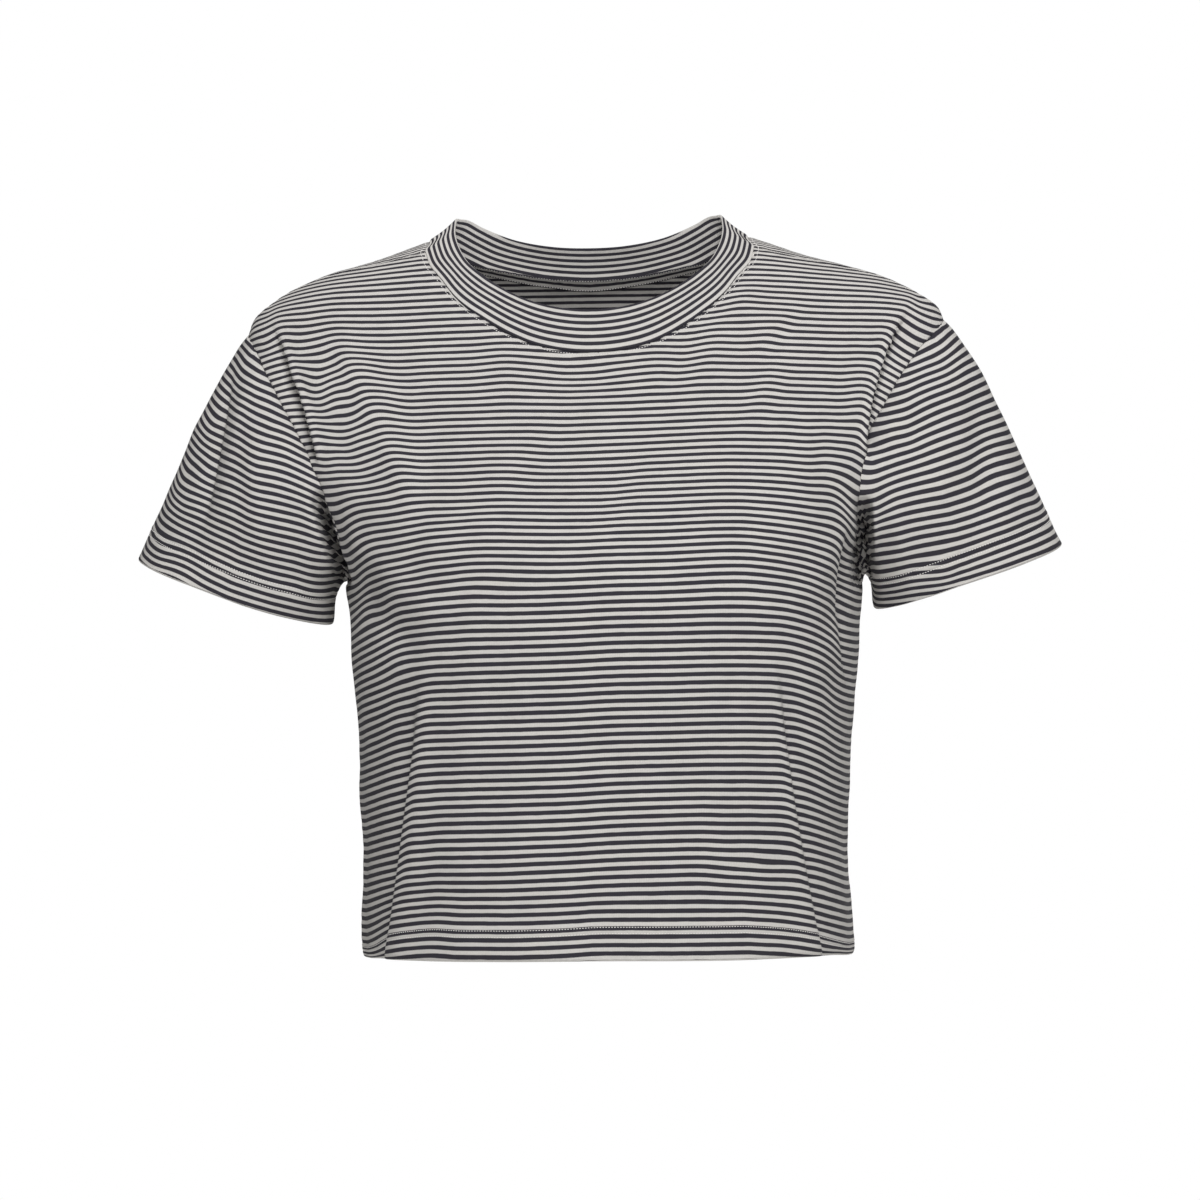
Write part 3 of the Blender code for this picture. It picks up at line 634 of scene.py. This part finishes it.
def liftedBy(points):
    # how much lower the stripes lie: bells on the folds, at the edges of the laps and at the shifts
    total = sum(fold[-1] * foldBell(points, fold) for fold in foldShapes["folds"] if fold[-1])
    within, outside = foldShapes["dipReach"]
    for lap in foldShapes["laps"]:
        under, _, fade = lapPlace(points, lap)
        total = total + lap[-1] * fade * bell(np.maximum(under / within, -under / outside))
    inFront = ownSide(points, -1, "shifts")
    for x, z, across, upward, shift in foldShapes["shifts"]:
        near = bell((points[..., 0] - x) / across) * bell((points[..., 2] - z) / upward)
        total = total + shift * near * inFront
    return total


def slopedBy(points):
    # slope * d, where d is the distance beyond the line, growing smoothly from nothing
    total = np.zeros(points.shape[:-1])
    rounding, begins, whole, furthest = foldShapes["slopeStart"]
    for side, *line, bow, slope in foldShapes["slopes"]:
        along, across, _ = beside(points, line, bow)
        lowEnd = along if line[1] < line[3] else 1 - along
        beyond = (np.sqrt(across ** 2 + rounding ** 2) - across) / 2
        near = step(lowEnd, begins, whole) * ownSide(points, side, "slopes") * (across < furthest)
        total += slope * beyond * near
    return total


def uneven(points):
    # sum of slow sines in x, depth and height, out of step with each other
    swell = np.zeros(points.shape[:-1])
    for number, (wave, height) in enumerate(foldShapes["unevenness"]):
        late = number * 1.7
        x, y, z = np.moveaxis(points, -1, 0) * 2 * np.pi / wave
        swell += height * np.sin(x + 0.6 * z + late) * np.sin(0.7 * z - 0.4 * x + 0.8 * y + 2 * late)
    return points + outwardOf(points) * swell[..., None]


stripeRun = {
    # height, cloth length up the front for each millimetre of height
    "rate": [(-470, 1), (-317, 1), (-300, 1.02), (-235, 1.02), (-212, 1.06), (-190, 1.135), (-170, 1.195),
             (-150, 1.225), (-130, 1.21), (-100, 1.19), (20, 1.18)],
    "rateBehind": [(-470, 1), (-150, 1), (-110, 1.02), (-71, 1.07), (-52, 1.14), (-36, 1.25), (-24, 1.45),
                   (20, 1.45)],
    # near the shoulder ridge a stripe climbs more: by how much, and within what distance
    "ridge": {-1: (15.3, 9.0), 1: (32.0, 5.5)},
    # distance out to the left, how much lower than in the middle a stripe lies
    "droop": [(-170, 26), (-152, 21), (-138, 14.5), (-123, 8.7), (-105, 3.5), (-87, 2.4), (-52, 1.5), (-17, 0.7),
              (0, 0), (35, -0.3), (70, -0.4), (90, 0.2), (105, 1.4), (123, 6.5), (138, 13.5), (152, 21),
              (170, 26)],
    "phase": -1.3,
    "droopFrom": (-95, -250),
}


def droopAt(x, z):
    # the droop table, growing from the chest down
    low, high = stripeRun["droopFrom"]
    return tableAt(stripeRun["droop"], x) * step(-z, -low, -high)


def stripeHeight(points, side):
    # length of cloth up from the hem: the rate added up over height, with more near the shoulder ridge
    heights = np.linspace(-470, 20, 491)
    run = addedUp(np.interp(heights, *np.array(stripeRun["rate" if side < 0 else "rateBehind"], float).T))
    run -= np.interp(bodyForm["hem"][0][1], heights, run)
    x, z = points[..., 0], points[..., 2]
    gain, reach = stripeRun["ridge"][side]
    ridge = gain * np.exp(-np.maximum(ridgeHeight(np.abs(x)) - z, 0) / reach)
    return np.interp(z + droopAt(x, z), heights, run) + ridge + liftedBy(points) + slopedBy(points)


def makeMesh(name, points, faceSets, material, cornerUv=None):
    # an object from points in millimetres and an array of faces for each number of corners
    corners = np.concatenate([faces.ravel() for faces in faceSets])
    sizes = np.concatenate([np.full(len(faces), faces.shape[1]) for faces in faceSets])
    mesh = bpy.data.meshes.new(name)
    mesh.vertices.add(points.size // 3)
    mesh.vertices.foreach_set("co", (points * mm).ravel())
    mesh.loops.add(len(corners))
    mesh.loops.foreach_set("vertex_index", corners)
    mesh.polygons.add(len(sizes))
    mesh.polygons.foreach_set("loop_start", np.cumsum(sizes) - sizes)
    mesh.polygons.foreach_set("loop_total", sizes)
    if cornerUv is not None:
        mesh.uv_layers.new(name="cloth").data.foreach_set("uv", (cornerUv * mm).ravel())
    mesh.update(calc_edges=True)
    mesh.validate()
    mesh.shade_smooth()
    mesh.materials.append(material)
    return placed(name, mesh)


def gridQuads(rows, columns, closed):
    # the corners of a grid's quads, joined round where it is closed, and each quad's row and column
    row, column = np.meshgrid(np.arange(rows - 1), np.arange(columns if closed else columns - 1), indexing="ij")
    start = row * columns
    after = (column + 1) % columns
    quads = np.stack([start + column, start + after, start + columns + after, start + columns + column], axis=-1)
    return quads.reshape(-1, 4), row, column


def makeSheet(name, grid, uv, wall, material, closed=False):
    # a grid of points as quads with its cloth lengths as UV, given a wall on both sides
    quads, row, column = gridQuads(*grid.shape[:2], closed)
    cornerUv = np.stack([uv[row, column], uv[row, column + 1], uv[row + 1, column + 1], uv[row + 1, column]],
                        axis=2)
    piece = makeMesh(name, grid, [quads], material, cornerUv)
    solidify = piece.modifiers.new("wall", "SOLIDIFY")
    solidify.thickness = wall * mm
    solidify.offset = 0
    return piece


jersey = {
    "light": "#c3c0bc",
    "dark": "#2e2c33",
    "duty": 0.535,
    "chestPaintedLight": (0.22, 0.34, -0.05),   # painted light over the chest, which faces up to the lamps: from and to which length up the cloth, change of the dark share
    "edge": 0.09,          # softness of a stripe's edge, in pitches
    "waleWidth": 1.0,      # real wales are 0.7 mm; drawn a little wider, so that they show
    "courseHeight": 0.8,
    "knit": (0.5, 0.25),   # height of the wales and of the courses
    # scale across and up the cloth, detail, roughness, strength
    "waver": (90, 400, 2.0, 0.6, 0.10),
    "fuzz": (1500, 1100, 3.0, 0.7, 0.34),
    "blotch": (60, 25, 2.0, 0.5, 0.10),
    "knitTone": 0.035,
    "relief": (0.6, 0.8),  # of the knit and of the fuzz
    "bump": {"Strength": 0.35, "Distance": 0.0002},
    "surface": {"Roughness": 0.92, "Specular IOR Level": 0.25, "Sheen Weight": 0.03, "Sheen Roughness": 0.5,
                "Sheen Tint": (0.95, 0.95, 0.96, 1)},
}


def jerseyMaterial(name):
    # combed cotton single jersey, ring-spun and yarn-dyed: matt with a faint fuzz, fine upright wales
    material, tree, shader = newMaterial(name, jersey["surface"])
    uv = addNode(tree, "ShaderNodeUVMap", {"uv_map": "cloth"}).outputs["UV"]
    parts = addNode(tree, "ShaderNodeSeparateXYZ", links={"Vector": uv})
    across, up = parts.outputs["X"], parts.outputs["Y"]

    def maths(operation, *values):
        fixed = {number: value for number, value in enumerate(values) if isinstance(value, (int, float))}
        linked = {number: value for number, value in enumerate(values) if number not in fixed}
        return addNode(tree, "ShaderNodeMath", {"operation": operation, **fixed}, linked).outputs[0]

    def noise(kind):
        # the noise between 0 and 1, and the same about 0, times its strength
        wide, high, detail, roughness, strength = jersey[kind]
        place = addNode(tree, "ShaderNodeMapping", {"Scale": (wide, high, 1)}, {"Vector": uv})
        plain = addNode(tree, "ShaderNodeTexNoise", {"Scale": 1.0, "Detail": detail, "Roughness": roughness},
                        {"Vector": place.outputs["Vector"]}).outputs["Fac"]
        return plain, maths("MULTIPLY", maths("SUBTRACT", plain, 0.5), strength)

    def mapped(value, settings):
        return addNode(tree, "ShaderNodeMapRange", settings, {"Value": value}).outputs["Result"]

    # hand-fed yarn wavers a little, so the stripe's edge isn't ruled
    place = maths("ADD", maths("DIVIDE", up, pitch * mm), noise("waver")[1])
    # distance from the middle of the dark stripe, in pitches
    away = maths("ABSOLUTE", maths("SUBTRACT", maths("FRACT", place), 0.5))
    # painted light: over the chest, which faces up to the lamps, the dark stripes are drawn narrower, so the light
    # stripes look wider and the chest lighter
    begins, ends, change = jersey["chestPaintedLight"]
    away = maths("ADD", away, mapped(up, {"From Min": begins, "From Max": ends, "To Max": -change / 2}))
    half, soft = jersey["duty"] / 2, jersey["edge"] / 2
    light = mapped(away, {"From Min": half - soft, "From Max": half + soft, "interpolation_type": "SMOOTHSTEP"})
    colour = addNode(tree, "ShaderNodeMix", {"data_type": "RGBA", 6: toLinear(jersey["dark"]),
                                             7: toLinear(jersey["light"])}, {0: light})
    # wales: upright ribs of stitches; courses: rows across
    ribs = [maths("MULTIPLY", maths("SINE", maths("MULTIPLY", along, 2 * math.pi / (jersey[width] * mm))), height)
            for along, width, height in zip((across, up), ("waleWidth", "courseHeight"), jersey["knit"])]
    knit = maths("ADD", *ribs)
    # yarn tone: the fuzz lightens the dark yarn and greys the light one a little
    fuzz, fuzzTone = noise("fuzz")
    tone = maths("ADD", 1.0, maths("ADD", fuzzTone, noise("blotch")[1]))
    tone = maths("ADD", tone, maths("MULTIPLY", knit, jersey["knitTone"]))
    toned = addNode(tree, "ShaderNodeVectorMath", {"operation": "SCALE"}, {0: colour.outputs[2], "Scale": tone})
    tree.links.new(toned.outputs["Vector"], shader.inputs["Base Color"])

    knitRelief, fuzzRelief = jersey["relief"]
    relief = maths("ADD", maths("MULTIPLY", knit, knitRelief), maths("MULTIPLY", fuzz, fuzzRelief))
    bump = addNode(tree, "ShaderNodeBump", jersey["bump"], {"Height": relief})
    tree.links.new(bump.outputs["Normal"], shader.inputs["Normal"])
    return material


seamShape = {"dip": 0.7, "reach": 2.2, "pucker": 0.22, "puckerReach": 8.0, "puckerWave": 9.0}

hemShape = {
    "height": -430,
    "gap": 1.1,          # between the middles of the two layers
    "turned": 20.2,
    "rows": (0, 0.6, 1.6, 3.2, 5, 7.5, 10, 12.2, 13.8, 14.7, 15.3, 15.9, 16.7, 17.6, 18.4, 19, 19.6, 20.2,
             21, 22.4, 24, 26, 28.5, 31, 34, 37, 40, 42.5, 45),
    "stitchRows": (15.3, 19),
    "groove": 0.35,
    "grooveWidth": 0.7,
    "raise": 0.45,
    "raiseFade": 1.5,
    "stripesFrom": 0.4,  # share of the hem's rows over which its stripes meet those above
    "rollWays": (0.1, 1, 1),   # the roll goes mostly towards the back, so that the side keeps its line
    "curl": 1.25,        # radius of the roll at the sides, for each millimetre rolled under
    # in front: distance out to the left, how much less is rolled under
    "rolledLess": [(-160, 0), (-146, 1), (-132, 5.5), (-124, 5), (-115, 3.4), (-106, 2), (-90, 0.6), (-70, 0),
                   (50, 0), (70, -1), (88, -2), (106, -2.6), (123, -1.4), (141, -0.6), (160, 0)],
}


def gridNormals(grid):
    # across x up: outwards, where the columns run counter-clockwise
    return unit(np.cross(np.gradient(grid, axis=1), np.gradient(grid, axis=0)))


def rowsAt(run, wanted):
    # the fractional rows where each column's run reaches the wanted lengths
    rows = np.arange(len(run))
    return np.stack([np.interp(*pair, rows) for pair in zip(wanted.T, run.T)], axis=1)


def ringNormals(grid):
    wide = np.concatenate([grid[:, -2:], grid, grid[:, :2]], axis=1)
    return gridNormals(wide)[:, 2:-2]


def seamDip(grid, normals, distance):
    # the cloth goes in at a seam: dip * exp(-(d / reach)^2), and puckers beside it: a sine of place
    shape = seamShape
    x, y, z = np.moveaxis(grid, -1, 0) * 2 * np.pi / shape["puckerWave"]
    pucker = np.sin(x + 0.8 * y + 0.9 * z + 2 * np.sin(0.31 * z - 0.2 * x)) * shape["pucker"]
    near = bell(distance / shape["reach"]) * shape["dip"] + pucker * np.exp(-distance / shape["puckerReach"])
    return grid - normals * near[..., None]


def turnedUp(grid, uv, normals, rows):
    # the hem: its rows again on the inside, joined to the outside by half a circle below the edge
    radius = hemShape["gap"] / 2
    down = unit(grid[0] - grid[1])
    middle = grid[0] - normals[0] * radius
    bend = np.radians(range(162, 0, -36))[:, None, None]
    turn = middle + radius * (np.cos(bend) * normals[0] + np.sin(bend) * down)
    inside = (grid[:rows] - normals[:rows] * 2 * radius)[::-1]
    turnUv = np.repeat(uv[:1], len(bend), axis=0) * (1, 0)
    return np.concatenate([inside, turn, grid]), np.concatenate([uv[:rows][::-1] * (1, -1), turnUv, uv])


def hemRelief(up):
    # the doubled part stands out, with a bell-shaped groove along each row of stitches
    groove = sum(bell((up - row) / hemShape["grooveWidth"]) for row in hemShape["stitchRows"])
    turned = hemShape["turned"]
    return hemShape["raise"] * step(-up, -turned - hemShape["raiseFade"], -turned) - hemShape["groove"] * groove


panelCloth = {"wall": 0.7, "hemUntilRow": 26, "rowsAbove": 8}


def readRows(grid, at):
    # grid values at fractional rows, a fraction for each column
    low = np.clip(at.astype(int), 0, len(grid) - 2)
    part = (at - low)[..., None]
    column = np.arange(grid.shape[1])
    return grid[low, column] * (1 - part) + grid[low + 1, column] * part


def hemPlaces(places, side):
    # the lowest rows, laid out anew by length of cloth from its edge. At the sides the cloth rolls under:
    # level for h, a quarter circle of radius r, then straight up, with h + 0.5708 r taken off its drop
    last = panelCloth["hemUntilRow"]
    low, high = places[0], places[last]
    out = bodyPoint(places[:1, :, 0], places[:1, :, 1])[0, :, 0]
    rolled = droopAt(out, np.full(len(out), hemShape["height"])) + low[:, 1] - bodyForm["hem"][0][1]
    if side < 0:
        rolled = rolled - tableAt(hemShape["rolledLess"], out)
    rolled = np.maximum(rolled, 0)
    radius = hemShape["curl"] * rolled
    level = rolled - 0.5708 * radius
    up = np.array(hemShape["rows"], float)[:, None] + 0 * rolled
    top = high[:, 1] - low[:, 1] + rolled
    above = np.linspace(0, 1, panelCloth["rowsAbove"] + 1)[1:, None]
    up = np.concatenate([up, up[-1] + (top - up[-1]) * above])
    bend = np.clip((up - level) / np.maximum(radius, 1e-6), 0, np.pi / 2)
    rise = radius * (1 - np.cos(bend)) + np.maximum(up - level - radius * np.pi / 2, 0)
    inward = np.maximum(level - up, 0) + radius * (1 - np.sin(bend))
    turned = readRows(places, np.clip(rise / (high[:, 1] - low[:, 1]), 0, 1) * last)
    turned[..., 1] = low[:, 1] + rise
    return turned, inward, up


def panelSurface(side):
    # the cloth: body ring, unevenness, folds, hem and seams in turn; also the plain ring, the lengths across
    # and up, and how many rows the hem adds
    places = panelPlaces(side)
    lowPlaces, inward, lowUp = hemPlaces(places, side)
    count = len(lowUp)
    rest = places[panelCloth["hemUntilRow"] + 1:]
    plain = bodyPoint(*np.moveaxis(np.concatenate([lowPlaces, rest]), -1, 0))
    stripes = stripeHeight(plain, side)
    up = np.concatenate([lowUp, stripes[count:]])
    meeting = step(lowUp / lowUp[-1], hemShape["stripesFrom"], 1)
    stripes[:count] = lowUp + (stripes[count - 1] - lowUp[-1]) * meeting
    across = runAlong(plain, 1)
    across -= across[:, across.shape[1] // 2][:, None]
    cloth = folded(uneven(plain))
    cloth[:count] -= outwardOf(cloth[:count]) * inward[..., None] * hemShape["rollWays"]
    normals = gridNormals(cloth)
    cloth += normals * hemRelief(up)[..., None]
    fromSide = np.minimum(runAlong(cloth, 1), runAlong(cloth[:, ::-1], 1)[:, ::-1])
    cloth = seamDip(cloth, normals, np.minimum(fromSide, runAlong(cloth[::-1])[::-1]))
    return cloth, plain, np.stack([across, stripes + stripeRun["phase"]], axis=-1), len(plain) - len(places)


sleeveForm = {
    "cuffOuter": {1: (279, -4, -190), -1: (280.6, -4, -187)},
    "cuffInner": {1: (163.5, -4, -225.5), -1: (166, -4, -229.8)},
    "halfDepth": 41,
    "frontDrop": 5,
    "cuffPower": 2.2,
    "bulge": [(0.0, -4), (0.08, -3), (0.2, 5), (0.3, 9), (0.4, 7), (0.5, 5.5), (0.6, 4),
              (0.7, 7), (0.8, 4), (0.92, -3), (1, -4)],
    "rings": 60,
    "hemRows": 25,       # how many of the hem's rows the cuff has
    "rowsAbove": 53,
    "joins": 6,        # how near the armhole the sleeve is brought to its seam
    "wall": 0.7,
    # height above the cuff, how much higher the pattern lies at the inner end, middle and outer end; 1 is left
    "stripes": {
        -1: [(0, -4.4, -3.9, -8.8), (45, 0.5, -0.2, -4.9), (90, 6.4, 4.7, -0.8), (130, 9.5, 7.8, 2.6),
             (170, 9, 9.5, 7)],
        1: [(0, -3.9, 3.7, 6), (45, -4.3, 3.2, 5.2), (90, -4.6, -0.8, 1.4), (130, -1.8, -2.2, -1.2),
            (170, 0.8, 0.5, 0.5)],
    },
    "stripesOut": (50, 1.4),   # half the table's width, and how many times that it goes on
}


def cuffFrame(which):
    # the cuff's outer and inner ends, the way to its front, and the way up from it
    outer, inner = (np.array(sleeveForm[name][which]) for name in ("cuffOuter", "cuffInner"))
    down = unit(np.cross(inner - outer, (0, 1, 0)))
    forward = np.array([0, -sleeveForm["halfDepth"], 0]) + down * sleeveForm["frontDrop"]
    return outer, inner, forward, -unit(np.cross(inner - outer, -forward))


def sleeveStripes(points, height, which):
    # the height above the cuff, shifted by the table along the height and then across
    outer, inner, _, _ = cuffFrame(which)
    out = (points - (outer + inner) / 2) @ unit(outer - inner)
    low, middle, high = (tableAt(sleeveForm["stripes"][which], height, 1 + number) for number in range(3))
    reach, most = sleeveForm["stripesOut"]
    share = np.clip(out / reach, -most, most)
    return height + middle + np.where(share < 0, middle - low, high - middle) * share


def sleeveSurface(armhole, which):
    # straight from the armhole to the cuff's superellipse, swollen by bulge * 6.75 d (1 - d)^2, which is
    # 1 a third of the way down, as on the left
    outer, inner, forward, upward = cuffFrame(which)
    steps = len(armhole)
    share = np.arange(steps) / steps
    power = 2 / sleeveForm["cuffPower"]
    long, short = (signedPower(wave(2 * np.pi * share), power)[:, None] for wave in (np.cos, np.sin))
    cuff = (outer + inner) / 2 + long * (inner - outer) / 2 + short * forward
    count = sleeveForm["rings"]
    down = np.linspace(0, 1, count + 1)[:, None, None]
    straight = (1 - down) * armhole + down * cuff
    radial = unit(straight - straight.mean(axis=1, keepdims=True))
    rings = straight + radial * tableAt(sleeveForm["bulge"], share)[:, None] * 6.75 * down * (1 - down) ** 2
    # laid out anew by length of cloth from the cuff
    rings = rings[::-1]
    run = runAlong(rings)
    wanted = np.array(hemShape["rows"][:sleeveForm["hemRows"]], float)
    above = np.linspace(0, 1, sleeveForm["rowsAbove"] + 1)[1:, None]
    up = np.concatenate([wanted[:, None] + 0 * run[-1], wanted[-1] + (run[-1] - wanted[-1]) * above])
    rings = readRows(rings, rowsAt(run, up))
    return rings, (rings - (outer + inner) / 2) @ upward, up


bandForm = {"rows": 20, "gap": 1.1, "wall": 0.65, "evened": 7, "tuck": 0.75, "under": 0.9, "opens": 3,
            # share of the way round, mirrored beyond 0.5: stripes between fold and seam, how far they are
            # moved from the fold, and how far the band swells out
            "around": [(0, 6.05, 0.5, 0.7), (0.12, 6.05, 0.45, 0.8), (0.19, 6.05, 0.25, 0.5),
                       (0.25, 6.05, 0.12, -0.6), (0.3, 6.05, 0.06, -0.4), (0.42, 5.2, 0.3, 0.8),
                       (0.5, 5, 0.43, 1)]}
tapeForm = {"width": 10.2, "fromSeam": 1, "wall": 0.6, "starts": 18, "rows": 8, "phase": -2.8, "stitchesIn": 0.9,
            "raised": 2, "inward": 0.35}


def bandEdge():
    # the folded edge, a point for each one of the neck seam, from front centre round by the left
    share = columnPlaces() / bodyForm["columns"] * 2 - 1
    middle = len(share) // 2
    front, back = (neckEdge(side, np.abs(share))[:, 2:] for side in (-1, 1))
    front[:, 0] *= np.where(share < 0, -1, 1)
    back[:, 0] *= np.where(share > 0, -1, 1)
    return np.concatenate([front[middle:], back[1:], front[1:middle]])


def bandSurface(seam, edge, stripes, bulge):
    # straight from the seam to the fold, swollen by bulge * 4 s (1 - s), half a circle over the fold, and
    # the same again inside, past the seam
    across = edge - seam
    way = unit(across)
    # outwards, evened out along the seam
    out = unit(np.cross(np.roll(seam, -1, axis=0) - np.roll(seam, 1, axis=0), across))
    out = sum(np.roll(out, number, axis=0) for number in range(-bandForm["evened"], bandForm["evened"] + 1))
    out = unit(out - way * np.sum(out * way, axis=1, keepdims=True))
    radius = bandForm["gap"] / 2
    width = np.linalg.norm(across, axis=1)[:, None]
    top = 1 - radius / width
    share = np.linspace(0, 1, bandForm["rows"] + 1)[:, None, None] * top
    middle = seam + across * share + out * bulge[:, None] * 4 * share * (1 - share)
    spread = step(share * width, 0, bandForm["opens"])
    outer = middle + out * radius * spread
    inner = middle - out * (radius * spread + bandForm["tuck"] * (1 - spread))
    tucked = inner[:1] - way * bandForm["under"]
    bend = np.radians(range(30, 180, 30))[:, None, None]
    fold = middle[-1] + radius * (np.cos(bend) * out + np.sin(bend) * way)
    fromFold = (1 - share[..., 0] / top[:, 0]) * stripes * pitch
    up = [fromFold, np.zeros((len(bend), 1)) * top[:, 0], -fromFold[::-1], -fromFold[:1] - bandForm["under"]]
    return np.concatenate([outer, fold, inner[::-1], tucked]), np.concatenate(up)


def tapeSurface(back):
    # a strip of the back, moved inwards and up over the neck seam
    grid = back[::-1, tapeForm["starts"]:-tapeForm["starts"]]
    wanted = np.linspace(0, tapeForm["width"], tapeForm["rows"])[:, None] + tapeForm["fromSeam"]
    strip = readRows(grid, rowsAt(runAlong(grid[:20]), wanted + 0 * grid[:1, :, 0]))[::-1]
    across = runAlong(strip, 1)
    up = wanted[::-1] - wanted[0] + 0 * across + tapeForm["phase"]
    inward = (panelCloth["wall"] + tapeForm["wall"]) / 2 + tapeForm["inward"]
    raised = unit(strip[-1:] - strip[:1]) * tapeForm["raised"]
    return strip + raised - gridNormals(strip) * inward, np.stack([across, up], axis=-1)


stitching = {
    "every": 1.7, "length": 1.2, "radius": 0.24, "fromNeckSeam": 3, "lift": 0.08,
    # along a stitch: share of its half length and of its radius, how deep it is pulled in
    "profile": [(-1, 0.35, 0.30), (-0.7, 1, 0.06), (0, 1, 0.0), (0.7, 1, 0.06), (1, 0.35, 0.30)],
    "sides": 6,
    "thread": "#dedbd8",
    "threadRoughness": 0.6,
}


def makeStitches(name, rows, material):
    # each stitch is a closed pill: circles of radius r(s) along its row of (points, normals)
    profile = np.array(stitching["profile"])
    sides = stitching["sides"]
    angle = (np.arange(sides) * 2 * np.pi / sides)[:, None]
    half = stitching["length"] / 2

    def read(values, at):
        return np.stack([np.interp(at, run, values[:, axis]) for axis in range(3)], axis=-1)

    pills = []
    for points, normals in rows:
        run = runAlong(points)
        at = np.arange(stitching["every"] / 2, run[-1], stitching["every"])
        first, last = read(points, at - half), read(points, at + half)
        up = unit(read(normals, at))
        way = unit(last - first)
        centre = ((first + last) / 2)[:, None] + way[:, None] * profile[:, :1] * half
        centre = centre - up[:, None] * profile[:, 2:]
        ring = np.cos(angle) * np.cross(up, way)[:, None, None] + np.sin(angle) * up[:, None, None]
        pills.append(centre[:, :, None] + ring * (profile[:, 1] * stitching["radius"])[:, None, None])
    pills = np.concatenate(pills)
    count, rings = pills.shape[:2]
    end = (rings - 1) * sides
    fan = range(1, sides - 1)
    caps = np.array([(0, corner + 1, corner) for corner in fan]
                    + [(end, end + corner, end + corner + 1) for corner in fan])
    start = (np.arange(count) * rings * sides)[:, None, None]
    faceSets = [(gridQuads(rings, sides, True)[0] + start).reshape(-1, 4), (caps + start).reshape(-1, 3)]
    piece = makeMesh(name, pills, faceSets, material)
    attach(piece, "root")
    return piece


def rowAt(grid, distance, lift):
    # the line at a distance from a grid's last row, raised off the cloth, and its normals
    turned = grid[::-1]
    at = rowsAt(runAlong(turned), np.full((1, grid.shape[1]), distance))
    line, out = (readRows(values, at)[0] for values in (turned, -gridNormals(turned)))
    return line + out * lift, out * np.sign(lift)


def closed(values, axis=0):
    # with the first row or column again after the last
    return np.concatenate([values, values.take([0], axis)], axis=axis)


def main():
    makeCamera()
    makeStudio()
    front, frontPlain, frontUv, hemExtra = panelSurface(-1)
    back, backPlain, backUv, _ = panelSurface(1)
    low = hemExtra + bodyForm["sideRows"] * bodyForm["finer"][0]
    high = low + bodyForm["armholeRows"] * bodyForm["finer"][0]
    hemRows = hemShape["rows"].index(hemShape["turned"]) + 1
    rows = [hemShape["rows"].index(row) for row in hemShape["stitchRows"]]
    material = jerseyMaterial("cotton jersey")
    # spun polyester: pale, slightly shiny
    look = {"Base Color": toLinear(stitching["thread"]), "Roughness": stitching["threadRoughness"]}
    thread = newMaterial("polyester sewing thread", look)[0]
    lift = panelCloth["wall"] / 2 + stitching["lift"]
    made = []
    for name, node, cloth, uv in (("front_cloth", "front", front, frontUv), ("back_cloth", "back", back, backUv)):
        grid, lengths = turnedUp(cloth, uv, gridNormals(cloth), hemRows)
        piece = makeSheet(name, hung(grid), lengths, panelCloth["wall"], material)
        cloth = hung(cloth)
        out = gridNormals(cloth)
        sewn = [(cloth[row] + out[row] * lift, out[row]) for row in rows]
        sewn.append(rowAt(cloth, stitching["fromNeckSeam"], lift))
        stitches = makeStitches(node + "_stitches", sewn, thread)
        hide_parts(node)
        made.append(piece)
    print("panels:", front.shape)

    for name, node, flip, frontColumn, backColumn in (("sleeve_left_cloth", "sleeve_left", 1, -1, 0),
                                                      ("sleeve_right_cloth", "sleeve_right", -1, 0, -1)):
        mirror = np.array([flip, 1, 1])
        plain, sewnTo = (np.concatenate([f[low:high, frontColumn], b[high:low:-1, backColumn]])
                         for f, b in ((frontPlain, backPlain), (front, back)))
        rings, height, up = sleeveSurface(plain * mirror, flip)
        height = sleeveStripes(rings, height, flip) + liftedBy(rings * mirror)
        cloth = folded(uneven(rings * mirror))
        cloth += (sewnTo - cloth[-1]) * bell((up[-1] - up) / sleeveForm["joins"])[..., None]
        if flip < 0:
            cloth, height, up = cloth[:, ::-1], height[:, ::-1], up[:, ::-1]
        cloth = cloth + ringNormals(cloth) * hemRelief(up)[..., None]
        lengths = np.stack([runAlong(closed(cloth, 1), 1), closed(height, 1)], axis=-1)
        grid, lengths = turnedUp(cloth, lengths, ringNormals(cloth), hemRows)
        piece = makeSheet(name, hung(grid), lengths, sleeveForm["wall"], material, closed=True)
        cloth = hung(cloth)
        out = ringNormals(cloth)
        sewn = [(closed(cloth[row] + out[row] * lift), closed(out[row])) for row in rows]
        stitches = makeStitches(node + "_stitches", sewn, thread)
        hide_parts(node)
        made.append(piece)
    print("sleeves:", cloth.shape)

    middle = front.shape[1] // 2
    seam = folded(uneven(np.concatenate([frontPlain[-1, middle:], backPlain[-1, 1:], frontPlain[-1, 1:middle]])))
    around = np.arange(len(seam) + 1) / len(seam)
    table = bandForm["around"] + [(1 - share, *rest) for share, *rest in bandForm["around"][-2::-1]]
    stripes, drift, bulge = (tableAt(table, around, 1 + number) for number in range(3))
    band, bandUp = bandSurface(seam, bandEdge(), stripes[:-1], bulge[:-1])
    up = closed(bandUp, 1) + drift * pitch
    lengths = np.stack([runAlong(closed(seam)) + 0 * up, up], axis=-1)
    bandPiece = makeSheet("neckband_cloth", hung(band), lengths, bandForm["wall"], material, closed=True)
    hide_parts("neckband")
    made.append(bandPiece)

    tape, tapeUv = tapeSurface(back)
    tapePiece = makeSheet("neck_tape_cloth", hung(tape), tapeUv, tapeForm["wall"], material)
    lift = tapeForm["wall"] / 2 + stitching["lift"]
    sewn = [rowAt(hung(tape)[::way], tapeForm["stitchesIn"], -way * lift) for way in (1, -1)]
    stitches = makeStitches("neck_tape_stitches", sewn, thread)
    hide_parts("neck_tape")
    made.append(tapePiece)
    for piece in made:
        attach(piece, "root")
    print("neckband and tape")


main()
